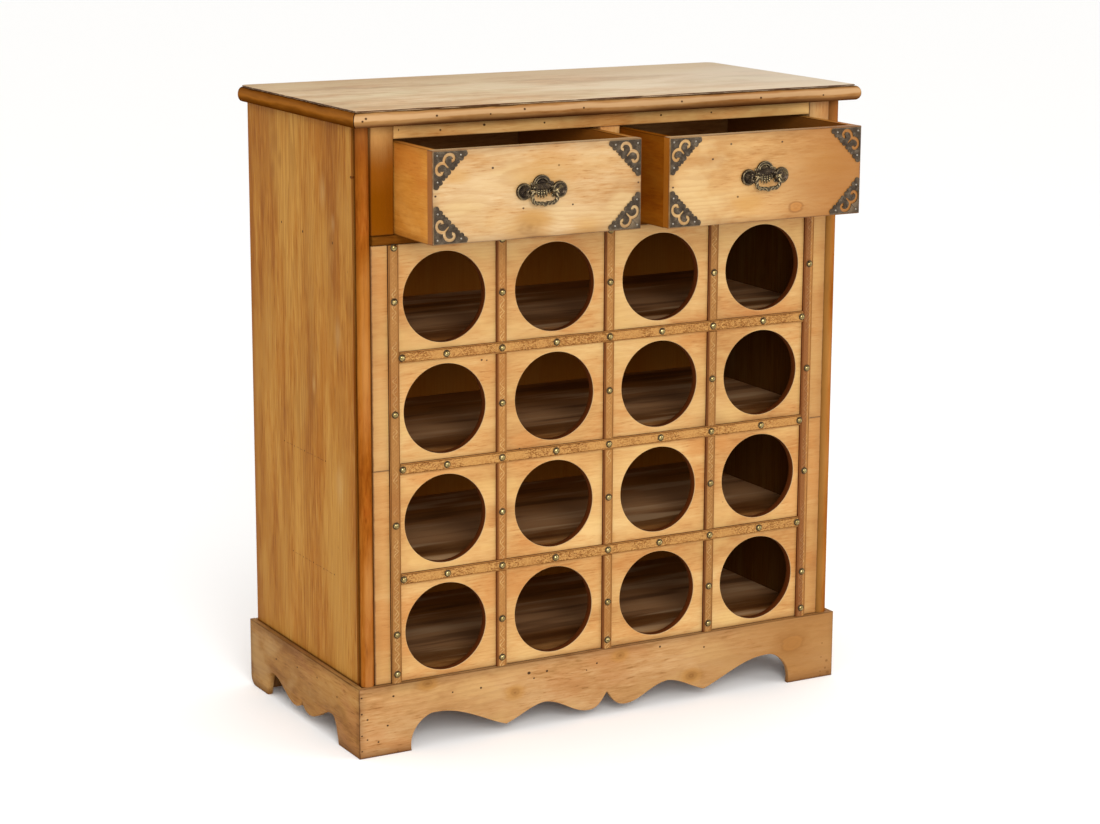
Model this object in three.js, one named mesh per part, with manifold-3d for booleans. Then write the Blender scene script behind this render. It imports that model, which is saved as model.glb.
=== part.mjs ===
import * as THREE from 'three';
import { mergeVertices } from 'three/addons/utils/BufferGeometryUtils.js';
import Module from 'manifold-3d';

// Pine wine cabinet with two drawers over a pierced bottle front.
// Millimetres, +Z up. The front faces -Y, and X runs to the right.
// Inside the cabinet group y = 0 is the front plane of the stiles and of the pierced boards.

// Whole cabinet
const cabinetHeight = 800;
const carcassWidth = 688.6;
const carcassDepth = 328;
const plinthHeight = 90;
const jointGap = 0.3;
const cutOverrun = 5;

// Top board with a quirked half-round edge on its front and ends
const topThickness = 20;
const topEndOverhang = 16.3;
const topFrontOverhang = 26;
const noseDepth = 6;
const quirkHeight = 2;
const topFrontRadius = 2.5;
const topRearRadius = 10;
const noseSteps = 8;
const planCornerSteps = 3;

// Carcass boards
const sideThickness = 14;
const backThickness = 8;
const boardThickness = 12;
const frameThickness = 18;
const shelfThickness = 10;
const shelfBelowHole = 3;
const sideLapInPlinth = 30;

// Round bead in each front corner
const beadRadius = 8.5;
const beadProud = 2.5;
const beadGrooveDepth = 5;
const beadSteps = 22;

// Drawer band across the top
const topRailHeight = 17.5;
const drawerOpeningHeight = 114.1;
const drawerRailHeight = 12;
const drawerRailDepth = 46;
const drawerRailProud = 1.5;
const stileWidth = 30;
const dividerWidth = 28;
const deckThickness = 9;
const guideHeight = 30;
const kickerFront = 55;
const kickerWidth = 50;

// Pierced bottle front
const holeDiameter = 112;
const holeMarginBelow = 6.6;
const holeMarginAbove = 12.3;
const holeSteps = 28;
const edgeStripWidth = 20.5;
const strapToHole = 7;
const leastRowMargin = 1;

// Applied straps and their studs
const strapWidth = 14;
const strapThickness = 5;
const strapBevel = 2.4;
const strapBevelHeight = 2.5;
const studRadius = 4.5;
const studRise = 3;
const studSink = 0.4;
const studToRail = 5;
const studToPlinth = 12;
const studToSideEnd = 2.5;
const studSides = 8;
const studRings = 3;

// Plinth boards, nailed over the foot of the carcass
const plinthThickness = 7.6;
const plinthProud = 5.6;
const rearFootRadius = 14;
const backRailHeight = 60;
const cornerBlockSize = 24;
const apronCurveSteps = 6;

// Drawers
const drawerFrontThickness = 12.5;
const drawerSideThickness = 10;
const drawerBackThickness = 10;
const drawerBottomThickness = 5;
const drawerBottomRise = 8;
const drawerBackDrop = 10;
const drawerDepth = 300;
const drawerEndGap = 1;
const drawerTopGap = 3;
const drawerFrontLift = 0.8;
const drawerBodySetback = 0.5;
const leftDrawerOpen = 101;
const rightDrawerOpen = 116;

// Iron corner plates on the drawer fronts
const plateLeg = 43;
const plateThickness = 1.2;
const plateInset = 1.2;
const scrollStroke = 3;
const scrollRadius = 5.6;
const scrollSteps = 9;

// Cast pull with a hanging bail
const pullTowardsMiddle = 3.2;
const pullRise = 4.6;
const lobeRadius = 10.2;
const lobeSpread = 24;
const lobeDrop = 4;
const crownRadius = 12.5;
const crownRise = 2.5;
const backplateThickness = 2;
const swagRadius = 3.6;
const swagLength = 30;
const postRadius = 2.5;
const postSpread = 11.8;
const pivotStandoff = 9;
const pivotDrop = 4;
const pinRadius = 1.2;
const pinClearance = 0.3;
const pinReach = 4;
const bailRadius = 2.3;
const bailDrop = 14;
const bailPointDrop = 1.6;
const bailCorner = 7;
const bailSides = 8;
const bailSteps = 22;
const lobeSides = 24;

// Outline of the front apron's lower edge, from the middle notch to the foot.
// Across as shares of half its length, up as shares of the plinth's height.
const frontNotchShares = [0, 0.365];
const frontCurveShares = [
  [[0.03, 0.2], [0.04, 0.129], [0.083, 0.129]],
  [[0.142, 0.135], [0.195, 0.361], [0.262, 0.37]],
  [[0.313, 0.355], [0.363, 0.215], [0.418, 0.144]],
  [[0.502, 0.244], [0.598, 0.522], [0.707, 0.497]],
  [[0.735, 0.512], [0.814, 0.325], [0.797, 0]],
];
// The same for the side aprons
const sideNotchShares = [0, 0.27];
const sideCurveShares = [
  [[0.02, 0.19], [0.07, 0.14], [0.132, 0.134]],
  [[0.28, 0.13], [0.4, 0.39], [0.545, 0.385]],
  [[0.615, 0.395], [0.643, 0.205], [0.67, 0]],
];

// Scalloped edge of a corner plate between its two tips, as shares of its leg.
// The other half is the mirror of this one across the diagonal.
const scallopShares = [
  [1, 0],
  [0.96, 0.12],
  [0.88, 0.2],
  [0.81, 0.225],
  [0.76, 0.29],
  [0.72, 0.39],
  [0.61, 0.46],
  [0.5, 0.5],
];
const scrollCentreShares = [0.475, 0.22];
const scrollStartShare = 0.13;
const scrollEndShare = -0.62;

// Colours and surfaces of the finishes
const finishes = {
  honeyPine: { color: 0xc98f4e, roughness: 0.5, metalness: 0 },
  palePine: { color: 0xe0b276, roughness: 0.5, metalness: 0 },
  topPine: { color: 0xd9c09a, roughness: 0.42, metalness: 0 },
  stainedPine: { color: 0x9a5a2c, roughness: 0.45, metalness: 0 },
  darkInside: { color: 0x4a2c18, roughness: 0.75, metalness: 0 },
  strap: { color: 0xb0713a, roughness: 0.55, metalness: 0 },
  iron: { color: 0x2f2c2c, roughness: 0.45, metalness: 0.8 },
  bronze: { color: 0x4a4234, roughness: 0.4, metalness: 0.85 },
};

const wasm = await Module();
wasm.setup();

// Places that several pieces share
const halfCarcass = carcassWidth / 2;
const carcassTop = cabinetHeight - topThickness;
const openingTop = carcassTop - topRailHeight;
const openingBottom = openingTop - drawerOpeningHeight;
const frontTop = openingBottom - drawerRailHeight;
const panelHalf = halfCarcass - 2 * beadRadius - jointGap;
const insideHalf = halfCarcass - sideThickness - jointGap;
const insideBack = carcassDepth - backThickness - jointGap;
const beadCentre = beadRadius - beadProud;
const sideFront = beadCentre + beadRadius + jointGap;
const sideBottom = plinthHeight - sideLapInPlinth;
const stileInner = panelHalf - stileWidth;
const holeRadius = holeDiameter / 2;
const halfStrap = strapWidth / 2;
const outerStrap = panelHalf - edgeStripWidth - halfStrap;
const lowestRow = plinthHeight + holeMarginBelow + holeRadius;
const highestRow = frontTop - holeMarginAbove - holeRadius;
const outerColumn = outerStrap - halfStrap - strapToHole - holeRadius;
const leastRowPitch = holeDiameter + strapWidth + 2 * leastRowMargin;
const leastColumnPitch = holeDiameter + strapWidth + 2 * strapToHole;
const holeRows = 1 + Math.floor((highestRow - lowestRow) / leastRowPitch);
const holeColumns = 1 + Math.floor((2 * outerColumn) / leastColumnPitch);
const rowPitch = (highestRow - lowestRow) / Math.max(1, holeRows - 1);
const columnPitch = (2 * outerColumn) / Math.max(1, holeColumns - 1);
const frameBack = frameThickness + jointGap;
const openingWidth = stileInner - dividerWidth / 2;
const openingCentre = (stileInner + dividerWidth / 2) / 2;
const plinthInner = halfCarcass + jointGap;
const plinthHalf = plinthInner + plinthThickness;
const apronBack = -plinthProud + plinthThickness;
const plinthBack = carcassDepth + jointGap + plinthThickness;

function rowHeight(row) {
  return lowestRow + row * rowPitch;
}

function columnPlace(column) {
  return (column - (holeColumns - 1) / 2) * columnPitch;
}

function strapPlace(index) {
  if (index === 0) return -outerStrap;
  if (index === holeColumns) return outerStrap;
  return (index - holeColumns / 2) * columnPitch;
}

// Groups: the whole cabinet, and inside it the carcass and each drawer
const cabinet = new THREE.Group();
const carcass = new THREE.Group();
cabinet.add(carcass);

function makeMaterial(finish) {
  return new THREE.MeshStandardMaterial(finishes[finish]);
}

function addPiece(group, name, geometry, finish, x = 0, y = 0, z = 0) {
  const mesh = new THREE.Mesh(geometry, makeMaterial(finish));
  mesh.name = name;
  mesh.position.set(x, y, z);
  group.add(mesh);
  return mesh;
}

// A plain board between a low and a high corner
function addBoard(group, name, low, high, finish) {
  const size = high.map((value, axis) => value - low[axis]);
  const middle = high.map((value, axis) => (value + low[axis]) / 2);
  addPiece(group, name, new THREE.BoxGeometry(...size), finish, ...middle);
}

function toSolid(geometry) {
  const plain = geometry.clone();
  plain.deleteAttribute('normal');
  plain.deleteAttribute('uv');
  const merged = mergeVertices(plain);
  return new wasm.Manifold(new wasm.Mesh({
    numProp: 3,
    vertProperties: Float32Array.from(merged.attributes.position.array),
    triVerts: Uint32Array.from(merged.index.array),
  }));
}

// An outline through points, always drawn anticlockwise
function outlineShape(points) {
  const vectors = points.map(([x, y]) => new THREE.Vector2(x, y));
  if (THREE.ShapeUtils.isClockWise(vectors)) vectors.reverse();
  return new THREE.Shape(vectors);
}

function toGeometry(solid) {
  const mesh = solid.getMesh();
  const geometry = new THREE.BufferGeometry();
  geometry.setAttribute('position', new THREE.BufferAttribute(mesh.vertProperties, 3));
  geometry.setIndex(new THREE.BufferAttribute(mesh.triVerts, 1));
  geometry.computeVertexNormals();
  return geometry;
}

function joinAll(geometries) {
  const solids = geometries.map(toSolid);
  return solids.reduce((whole, next) => whole.add(next));
}

// Turns a shape drawn in X and Z so that its thickness runs from y = 0 towards +Y
function extrudeUpright(shape, thickness, curveSegments) {
  const geometry = new THREE.ExtrudeGeometry(shape, {
    depth: thickness,
    bevelEnabled: false,
    curveSegments,
  });
  geometry.rotateX(Math.PI / 2);
  geometry.translate(0, thickness, 0);
  return geometry;
}

// The same for a shape drawn in Y and Z, with its thickness from x = 0 towards +X
function extrudeSideways(shape, thickness, curveSegments) {
  const geometry = new THREE.ExtrudeGeometry(shape, {
    depth: thickness,
    bevelEnabled: false,
    curveSegments,
  });
  const turn = new THREE.Matrix4().makeBasis(
    new THREE.Vector3(0, 1, 0),
    new THREE.Vector3(0, 0, 1),
    new THREE.Vector3(1, 0, 0),
  );
  geometry.applyMatrix4(turn);
  return geometry;
}

function boxAt(width, depth, height, x, y, z) {
  const box = new THREE.BoxGeometry(width, depth, height);
  box.translate(x, y, z);
  return box;
}

// A closed skin over rings that have the same number of points and are convex in plan
function skinRings(rings) {
  const count = rings[0].length;
  const points = rings.flat();
  const faces = [];
  for (let ring = 0; ring < rings.length - 1; ring += 1) {
    for (let i = 0; i < count; i += 1) {
      const next = (i + 1) % count;
      const a = ring * count + i;
      const b = ring * count + next;
      faces.push(a, b, b + count, a, b + count, a + count);
    }
  }
  const last = (rings.length - 1) * count;
  for (let i = 1; i < count - 1; i += 1) {
    faces.push(0, i + 1, i);
    faces.push(last, last + i, last + i + 1);
  }
  const geometry = new THREE.BufferGeometry();
  geometry.setAttribute('position', new THREE.Float32BufferAttribute(points.flat(), 3));
  geometry.setIndex(faces);
  geometry.computeVertexNormals();
  return geometry;
}

// One level of the top board: a rectangle, drawn in by inset except along its back
function topRing(inset, z) {
  const half = halfCarcass + topEndOverhang - inset;
  const front = -topFrontOverhang + inset;
  const corners = [
    [half, front, topFrontRadius, -1 / 4],
    [half, carcassDepth, topRearRadius, 0],
    [-half, carcassDepth, topRearRadius, 1 / 4],
    [-half, front, topFrontRadius, 1 / 2],
  ];
  const ring = [];
  corners.forEach(([x, y, radius, turn]) => {
    const centreX = x - Math.sign(x) * radius;
    const centreY = y === front ? y + radius : y - radius;
    for (let i = 0; i <= planCornerSteps; i += 1) {
      const angle = 2 * Math.PI * (turn + i / planCornerSteps / 4);
      ring.push([centreX + radius * Math.cos(angle), centreY + radius * Math.sin(angle), z]);
    }
  });
  return ring;
}

function buildTop() {
  const noseHeight = topThickness - quirkHeight;
  const rings = [];
  for (let i = 0; i <= noseSteps; i += 1) {
    const angle = Math.PI * (i / noseSteps - 1 / 2);
    const inset = noseDepth * (1 - Math.cos(angle));
    const rise = (noseHeight / 2) * (1 + Math.sin(angle));
    rings.push(topRing(inset, carcassTop + rise));
  }
  rings.push(topRing(noseDepth, cabinetHeight));
  addPiece(carcass, 'top_board', skinRings(rings), 'topPine');
}

// Three-quarter round with a square back corner that is glued to the side's front edge.
// The groove beside the round is on the outer side, which sign names.
function beadShape(sign) {
  const grooveFloor = beadRadius - beadGrooveDepth;
  const start = Math.acos(grooveFloor / beadRadius);
  const points = [];
  for (let i = 0; i <= beadSteps; i += 1) {
    const angle = start - (start + Math.PI) * (i / beadSteps);
    points.push([sign * beadRadius * Math.cos(angle), beadRadius * Math.sin(angle)]);
  }
  points.push([-sign * beadRadius, beadRadius]);
  points.push([sign * grooveFloor, beadRadius]);
  return outlineShape(points);
}

function buildBeads() {
  const bottom = plinthHeight + jointGap;
  const height = carcassTop - jointGap - bottom;
  [['left', -1], ['right', 1]].forEach(([side, sign]) => {
    const geometry = new THREE.ExtrudeGeometry(beadShape(sign), { depth: height, bevelEnabled: false });
    const x = sign * (halfCarcass - beadRadius);
    addPiece(carcass, `corner_bead_${side}`, geometry, 'stainedPine', x, beadCentre, bottom);
  });
}

function buildCarcassBoards() {
  const top = carcassTop - jointGap;
  [['left', -1], ['right', 1]].forEach(([side, sign]) => {
    const xs = [sign * (halfCarcass - sideThickness), sign * halfCarcass].sort((a, b) => a - b);
    addBoard(
      carcass,
      `side_panel_${side}`,
      [xs[0], sideFront, sideBottom],
      [xs[1], carcassDepth, top],
      'honeyPine',
    );
    const stile = [sign * stileInner, sign * panelHalf].sort((a, b) => a - b);
    addBoard(
      carcass,
      `front_stile_${side}`,
      [stile[0], 0, openingBottom + jointGap],
      [stile[1], frameThickness, top],
      'palePine',
    );
    const guide = [sign * stileInner, sign * insideHalf].sort((a, b) => a - b);
    addBoard(
      carcass,
      `drawer_guide_${side}`,
      [guide[0], frameBack, openingBottom + jointGap],
      [guide[1], insideBack, openingBottom + guideHeight],
      'darkInside',
    );
  });
  addBoard(
    carcass,
    'back_panel',
    [-insideHalf, carcassDepth - backThickness, sideBottom],
    [insideHalf, carcassDepth, top],
    'honeyPine',
  );
  addBoard(
    carcass,
    'top_rail',
    [-stileInner + jointGap, 0, openingTop],
    [stileInner - jointGap, frameThickness, top],
    'palePine',
  );
  addBoard(
    carcass,
    'drawer_divider',
    [-dividerWidth / 2, 0, openingBottom + jointGap],
    [dividerWidth / 2, frameThickness, openingTop - jointGap],
    'palePine',
  );
  addBoard(
    carcass,
    'drawer_rail',
    [-panelHalf, -drawerRailProud, frontTop + jointGap],
    [panelHalf, drawerRailDepth, openingBottom],
    'palePine',
  );
  addBoard(
    carcass,
    'drawer_deck',
    [-insideHalf, drawerRailDepth + jointGap, openingBottom - deckThickness],
    [insideHalf, insideBack, openingBottom],
    'darkInside',
  );
  addBoard(
    carcass,
    'drawer_guide_middle',
    [-dividerWidth / 2, frameBack, openingBottom + jointGap],
    [dividerWidth / 2, insideBack, openingBottom + guideHeight],
    'darkInside',
  );
  addBoard(
    carcass,
    'drawer_kicker',
    [-insideHalf, kickerFront, openingTop],
    [insideHalf, kickerFront + kickerWidth, top],
    'darkInside',
  );
}

function buildShelves() {
  for (let row = 0; row < holeRows; row += 1) {
    const top = rowHeight(row) - holeRadius - shelfBelowHole;
    addBoard(
      carcass,
      `bottle_shelf_${row + 1}`,
      [-insideHalf, sideFront, top - shelfThickness],
      [insideHalf, insideBack, top],
      'darkInside',
    );
  }
}

// A board of the bottle front, with the holes of its rows
function addPiercedBoard(name, bottom, top, rows) {
  const shape = new THREE.Shape();
  shape.moveTo(-panelHalf, bottom);
  shape.lineTo(panelHalf, bottom);
  shape.lineTo(panelHalf, top);
  shape.lineTo(-panelHalf, top);
  shape.closePath();
  rows.forEach((row) => {
    for (let column = 0; column < holeColumns; column += 1) {
      const hole = new THREE.Path();
      hole.absarc(columnPlace(column), rowHeight(row), holeRadius, 0, 2 * Math.PI, true);
      shape.holes.push(hole);
    }
  });
  const geometry = extrudeUpright(shape, boardThickness, holeSteps);
  addPiece(carcass, name, geometry, 'palePine');
}

function buildBottleFront() {
  const rows = [...Array(holeRows).keys()];
  const lowerRows = rows.filter((row) => row < holeRows / 2);
  const upperRows = rows.filter((row) => row >= holeRows / 2);
  const joint = (rowHeight(lowerRows.length - 1) + rowHeight(lowerRows.length)) / 2;
  addPiercedBoard('bottle_front_lower', plinthHeight + jointGap, joint, lowerRows);
  addPiercedBoard('bottle_front_upper', joint + jointGap, frontTop, upperRows);
}

// Section of a strap: its back lies on the front plane, and its face points to -Y
function strapSection() {
  const shape = new THREE.Shape();
  const edge = strapThickness - strapBevelHeight;
  shape.moveTo(-halfStrap, -jointGap);
  shape.lineTo(halfStrap, -jointGap);
  shape.lineTo(halfStrap, -edge);
  shape.lineTo(halfStrap - strapBevel, -strapThickness);
  shape.lineTo(-halfStrap + strapBevel, -strapThickness);
  shape.lineTo(-halfStrap, -edge);
  shape.closePath();
  return shape;
}

function strapGeometry(length) {
  return new THREE.ExtrudeGeometry(strapSection(), { depth: length, bevelEnabled: false });
}

// A domed stud, sunk a little into the face of its strap
function studAt(x, z) {
  const profile = [new THREE.Vector2(0, -studRise)];
  for (let ring = 1; ring <= studRings; ring += 1) {
    const angle = (Math.PI / 2) * (ring / studRings);
    profile.push(new THREE.Vector2(studRadius * Math.sin(angle), -studRise * Math.cos(angle)));
  }
  profile.push(new THREE.Vector2(studRadius, studSink));
  profile.push(new THREE.Vector2(0, studSink));
  const dome = new THREE.LatheGeometry(profile, studSides);
  dome.translate(x, -strapThickness, z);
  return toSolid(dome);
}

// Where inner verticals and horizontals cross, each is halved
const lapDepth = strapThickness / 2;
const lapWidth = strapWidth + 2 * jointGap;

function buildVerticalStraps() {
  const bottom = plinthHeight + jointGap;
  const length = frontTop - bottom;
  for (let index = 0; index <= holeColumns; index += 1) {
    const x = strapPlace(index);
    let solid = toSolid(strapGeometry(length).translate(x, 0, bottom));
    const isInner = index > 0 && index < holeColumns;
    for (let row = 0; isInner && row < holeRows - 1; row += 1) {
      const z = rowHeight(row) + rowPitch / 2;
      const y = -lapDepth - cutOverrun;
      solid = solid.subtract(toSolid(boxAt(lapWidth, 2 * cutOverrun, lapWidth, x, y, z)));
    }
    for (let row = 0; row < holeRows; row += 1) {
      solid = solid.add(studAt(x, rowHeight(row)));
    }
    solid = solid.add(studAt(x, plinthHeight + studToPlinth));
    solid = solid.add(studAt(x, frontTop - studToRail));
    addPiece(carcass, `strap_vertical_${index + 1}`, toGeometry(solid), 'strap');
  }
}

function buildHorizontalStraps() {
  const reach = outerStrap - halfStrap - jointGap;
  for (let row = 0; row < holeRows - 1; row += 1) {
    const z = rowHeight(row) + rowPitch / 2;
    const strap = strapGeometry(2 * reach).translate(0, 0, -reach);
    strap.rotateY(Math.PI / 2);
    strap.translate(0, 0, z);
    let solid = toSolid(strap);
    for (let index = 1; index < holeColumns; index += 1) {
      const x = strapPlace(index);
      const y = -lapDepth - jointGap + cutOverrun;
      solid = solid.subtract(toSolid(boxAt(lapWidth, 2 * cutOverrun, lapWidth, x, y, z)));
      solid = solid.add(studAt(x, z));
    }
    for (let column = 0; column < holeColumns; column += 1) {
      solid = solid.add(studAt(columnPlace(column), z));
    }
    [-1, 1].forEach((sign) => {
      solid = solid.add(studAt(sign * (reach - studToSideEnd), z));
    });
    addPiece(carcass, `strap_horizontal_${row + 1}`, toGeometry(solid), 'strap');
  }
}

// Draws the lower edge of an apron from one foot to the other, about its middle
function drawApronEdge(shape, notch, curves, middle, half) {
  const place = (share, sign) => [middle + sign * share[0] * half, share[1] * plinthHeight];
  const starts = [notch, ...curves.map((curve) => curve[2])];
  for (let i = curves.length - 1; i >= 0; i -= 1) {
    const [first, second] = curves[i];
    shape.bezierCurveTo(...place(second, -1), ...place(first, -1), ...place(starts[i], -1));
  }
  curves.forEach(([first, second, end]) => {
    shape.bezierCurveTo(...place(first, 1), ...place(second, 1), ...place(end, 1));
  });
}

// The wedge that a mitre takes off one end of a board, in front of the joint or behind it
function mitreWedge(sign, side) {
  const offset = (side * jointGap) / 2;
  const outer = [plinthHalf + cutOverrun, -plinthProud - cutOverrun];
  const inner = [plinthInner - cutOverrun, apronBack + cutOverrun];
  const corner = side > 0 ? [outer[0], inner[1]] : [inner[0], outer[1]];
  const shape = outlineShape([outer, inner, corner].map(([x, y]) => [sign * x, y - offset]));
  const wedge = new THREE.ExtrudeGeometry(shape, { depth: plinthHeight, bevelEnabled: false });
  wedge.scale(1, 1, 1 + 2 * cutOverrun / plinthHeight);
  wedge.translate(0, 0, -cutOverrun);
  return toSolid(wedge);
}

function buildFrontApron() {
  const half = plinthHalf;
  const foot = frontCurveShares[frontCurveShares.length - 1][2];
  const shape = new THREE.Shape();
  shape.moveTo(-half, plinthHeight);
  shape.lineTo(-half, 0);
  shape.lineTo(-half * foot[0], 0);
  drawApronEdge(shape, frontNotchShares, frontCurveShares, 0, half);
  shape.lineTo(half, 0);
  shape.lineTo(half, plinthHeight);
  shape.closePath();
  const board = extrudeUpright(shape, plinthThickness, apronCurveSteps);
  board.translate(0, -plinthProud, 0);
  const solid = toSolid(board).subtract(mitreWedge(-1, 1)).subtract(mitreWedge(1, 1));
  addPiece(carcass, 'apron_front', toGeometry(solid), 'honeyPine');
}

function buildSideAprons() {
  const front = -plinthProud;
  const back = plinthBack;
  const middle = (apronBack + back) / 2;
  const half = (back - apronBack) / 2;
  const foot = sideCurveShares[sideCurveShares.length - 1][2];
  const shape = new THREE.Shape();
  shape.moveTo(front, plinthHeight);
  shape.lineTo(front, 0);
  shape.lineTo(middle - half * foot[0], 0);
  drawApronEdge(shape, sideNotchShares, sideCurveShares, middle, half);
  shape.lineTo(back - rearFootRadius, 0);
  shape.absarc(back - rearFootRadius, rearFootRadius, rearFootRadius, -Math.PI / 2, 0, false);
  shape.lineTo(back, plinthHeight);
  shape.closePath();
  [['left', -1], ['right', 1]].forEach(([side, sign]) => {
    const board = extrudeSideways(shape, plinthThickness, apronCurveSteps);
    board.translate(sign < 0 ? -plinthHalf : plinthInner, 0, 0);
    const solid = toSolid(board).subtract(mitreWedge(sign, -1));
    addPiece(carcass, `apron_${side}`, toGeometry(solid), 'honeyPine');
  });
  addBoard(
    carcass,
    'plinth_back_rail',
    [-halfCarcass, carcassDepth + jointGap, plinthHeight - backRailHeight],
    [halfCarcass, back, plinthHeight],
    'honeyPine',
  );
}

// Glue blocks in the corners of the plinth carry the side panels
function buildCornerBlocks() {
  const front = apronBack + jointGap;
  const places = [
    ['front_left', -1, front],
    ['front_right', 1, front],
    ['rear_left', -1, carcassDepth - cornerBlockSize],
    ['rear_right', 1, carcassDepth - cornerBlockSize],
  ];
  places.forEach(([name, sign, y]) => {
    const xs = [sign * (halfCarcass - cornerBlockSize), sign * halfCarcass].sort((a, b) => a - b);
    addBoard(
      carcass,
      `foot_block_${name}`,
      [xs[0], y, 0],
      [xs[1], y + cornerBlockSize, sideBottom - jointGap],
      'darkInside',
    );
  });
}

// A curved slot, two of which make the scroll that pierces a corner plate
function scrollSlot(centre, swap, signX, signZ) {
  const outer = scrollRadius + scrollStroke / 2;
  const inner = scrollRadius - scrollStroke / 2;
  const sweep = 2 * Math.PI * (scrollEndShare - scrollStartShare);
  const start = 2 * Math.PI * scrollStartShare;
  const points = [];
  const push = (radius, share) => {
    const angle = start + sweep * share;
    const a = centre[0] * plateLeg + radius * Math.cos(angle);
    const b = centre[1] * plateLeg + radius * Math.sin(angle);
    const [x, z] = swap ? [b, a] : [a, b];
    points.push(new THREE.Vector2(signX * x, signZ * z));
  };
  for (let i = 0; i <= scrollSteps; i += 1) push(outer, i / scrollSteps);
  for (let i = scrollSteps; i >= 0; i -= 1) push(inner, i / scrollSteps);
  return new THREE.Path(points);
}

// A corner plate, with its right angle at the origin and its legs along signX and signZ
function cornerPlate(signX, signZ) {
  const half = scallopShares.map(([a, b]) => [a * plateLeg, b * plateLeg]);
  const mirrored = half.slice(0, -1).reverse().map(([a, b]) => [b, a]);
  const outline = [[0, 0], ...half, ...mirrored];
  const shape = outlineShape(outline.map(([x, z]) => [signX * x, signZ * z]));
  shape.holes.push(scrollSlot(scrollCentreShares, false, signX, signZ));
  shape.holes.push(scrollSlot(scrollCentreShares, true, signX, signZ));
  return extrudeUpright(shape, plateThickness, scrollSteps);
}

// Cast backplate: two side lobes, a crown lobe, a swag between them and two posts for the bail
function backplateGeometry() {
  const thick = backplateThickness;
  const disc = (radius, x, z) => {
    const geometry = new THREE.CylinderGeometry(radius, radius, thick, lobeSides);
    geometry.translate(x, -thick / 2, z);
    return geometry;
  };
  const pieces = [
    disc(lobeRadius, -lobeSpread, -lobeDrop),
    disc(lobeRadius, lobeSpread, -lobeDrop),
    disc(crownRadius, 0, crownRise),
    boxAt(2 * lobeSpread, thick, lobeRadius, 0, -thick / 2, -lobeDrop),
  ];
  const swag = new THREE.CapsuleGeometry(swagRadius, swagLength - 2 * swagRadius, 3, 10);
  swag.rotateZ(Math.PI / 2);
  swag.translate(0, -swagRadius, 0);
  pieces.push(swag);
  const postLength = pivotStandoff + postRadius;
  [-1, 1].forEach((sign) => {
    const post = new THREE.CylinderGeometry(postRadius, postRadius, postLength, 12);
    post.translate(sign * postSpread, -postLength / 2, -pivotDrop);
    pieces.push(post);
  });
  const bore = new THREE.CylinderGeometry(
    pinRadius + pinClearance,
    pinRadius + pinClearance,
    2 * (postSpread + postRadius + cutOverrun),
    12,
  );
  bore.rotateZ(Math.PI / 2);
  bore.translate(0, -pivotStandoff, -pivotDrop);
  return toGeometry(joinAll(pieces).subtract(toSolid(bore)));
}

// The bail hangs from its two pins, which point inwards into the posts
function bailGeometry() {
  const arm = postSpread + postRadius + jointGap + bailRadius;
  const path = new THREE.CurvePath();
  const at = (x, z) => new THREE.Vector3(x, 0, z);
  path.add(new THREE.LineCurve3(at(-arm, bailRadius), at(-arm, -bailDrop + bailCorner)));
  path.add(new THREE.QuadraticBezierCurve3(
    at(-arm, -bailDrop + bailCorner),
    at(-arm, -bailDrop),
    at(-arm + bailCorner, -bailDrop),
  ));
  path.add(new THREE.QuadraticBezierCurve3(
    at(-arm + bailCorner, -bailDrop),
    at(-bailCorner / 2, -bailDrop),
    at(0, -bailDrop - bailPointDrop),
  ));
  path.add(new THREE.QuadraticBezierCurve3(
    at(0, -bailDrop - bailPointDrop),
    at(bailCorner / 2, -bailDrop),
    at(arm - bailCorner, -bailDrop),
  ));
  path.add(new THREE.QuadraticBezierCurve3(
    at(arm - bailCorner, -bailDrop),
    at(arm, -bailDrop),
    at(arm, -bailDrop + bailCorner),
  ));
  path.add(new THREE.LineCurve3(at(arm, -bailDrop + bailCorner), at(arm, bailRadius)));
  const section = new THREE.Shape();
  for (let i = 0; i < bailSides; i += 1) {
    const angle = (2 * Math.PI * i) / bailSides;
    const x = bailRadius * Math.cos(angle);
    const y = bailRadius * Math.sin(angle);
    if (i === 0) {
      section.moveTo(x, y);
    } else {
      section.lineTo(x, y);
    }
  }
  section.closePath();
  const rod = new THREE.ExtrudeGeometry(section, { extrudePath: path, steps: bailSteps });
  const pieces = [rod];
  [-1, 1].forEach((sign) => {
    const length = bailRadius + jointGap + pinReach;
    const pin = new THREE.CylinderGeometry(pinRadius, pinRadius, length, 10);
    pin.rotateZ(Math.PI / 2);
    pin.translate(sign * (arm - length / 2), 0, 0);
    pieces.push(pin);
  });
  return toGeometry(joinAll(pieces));
}

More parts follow.
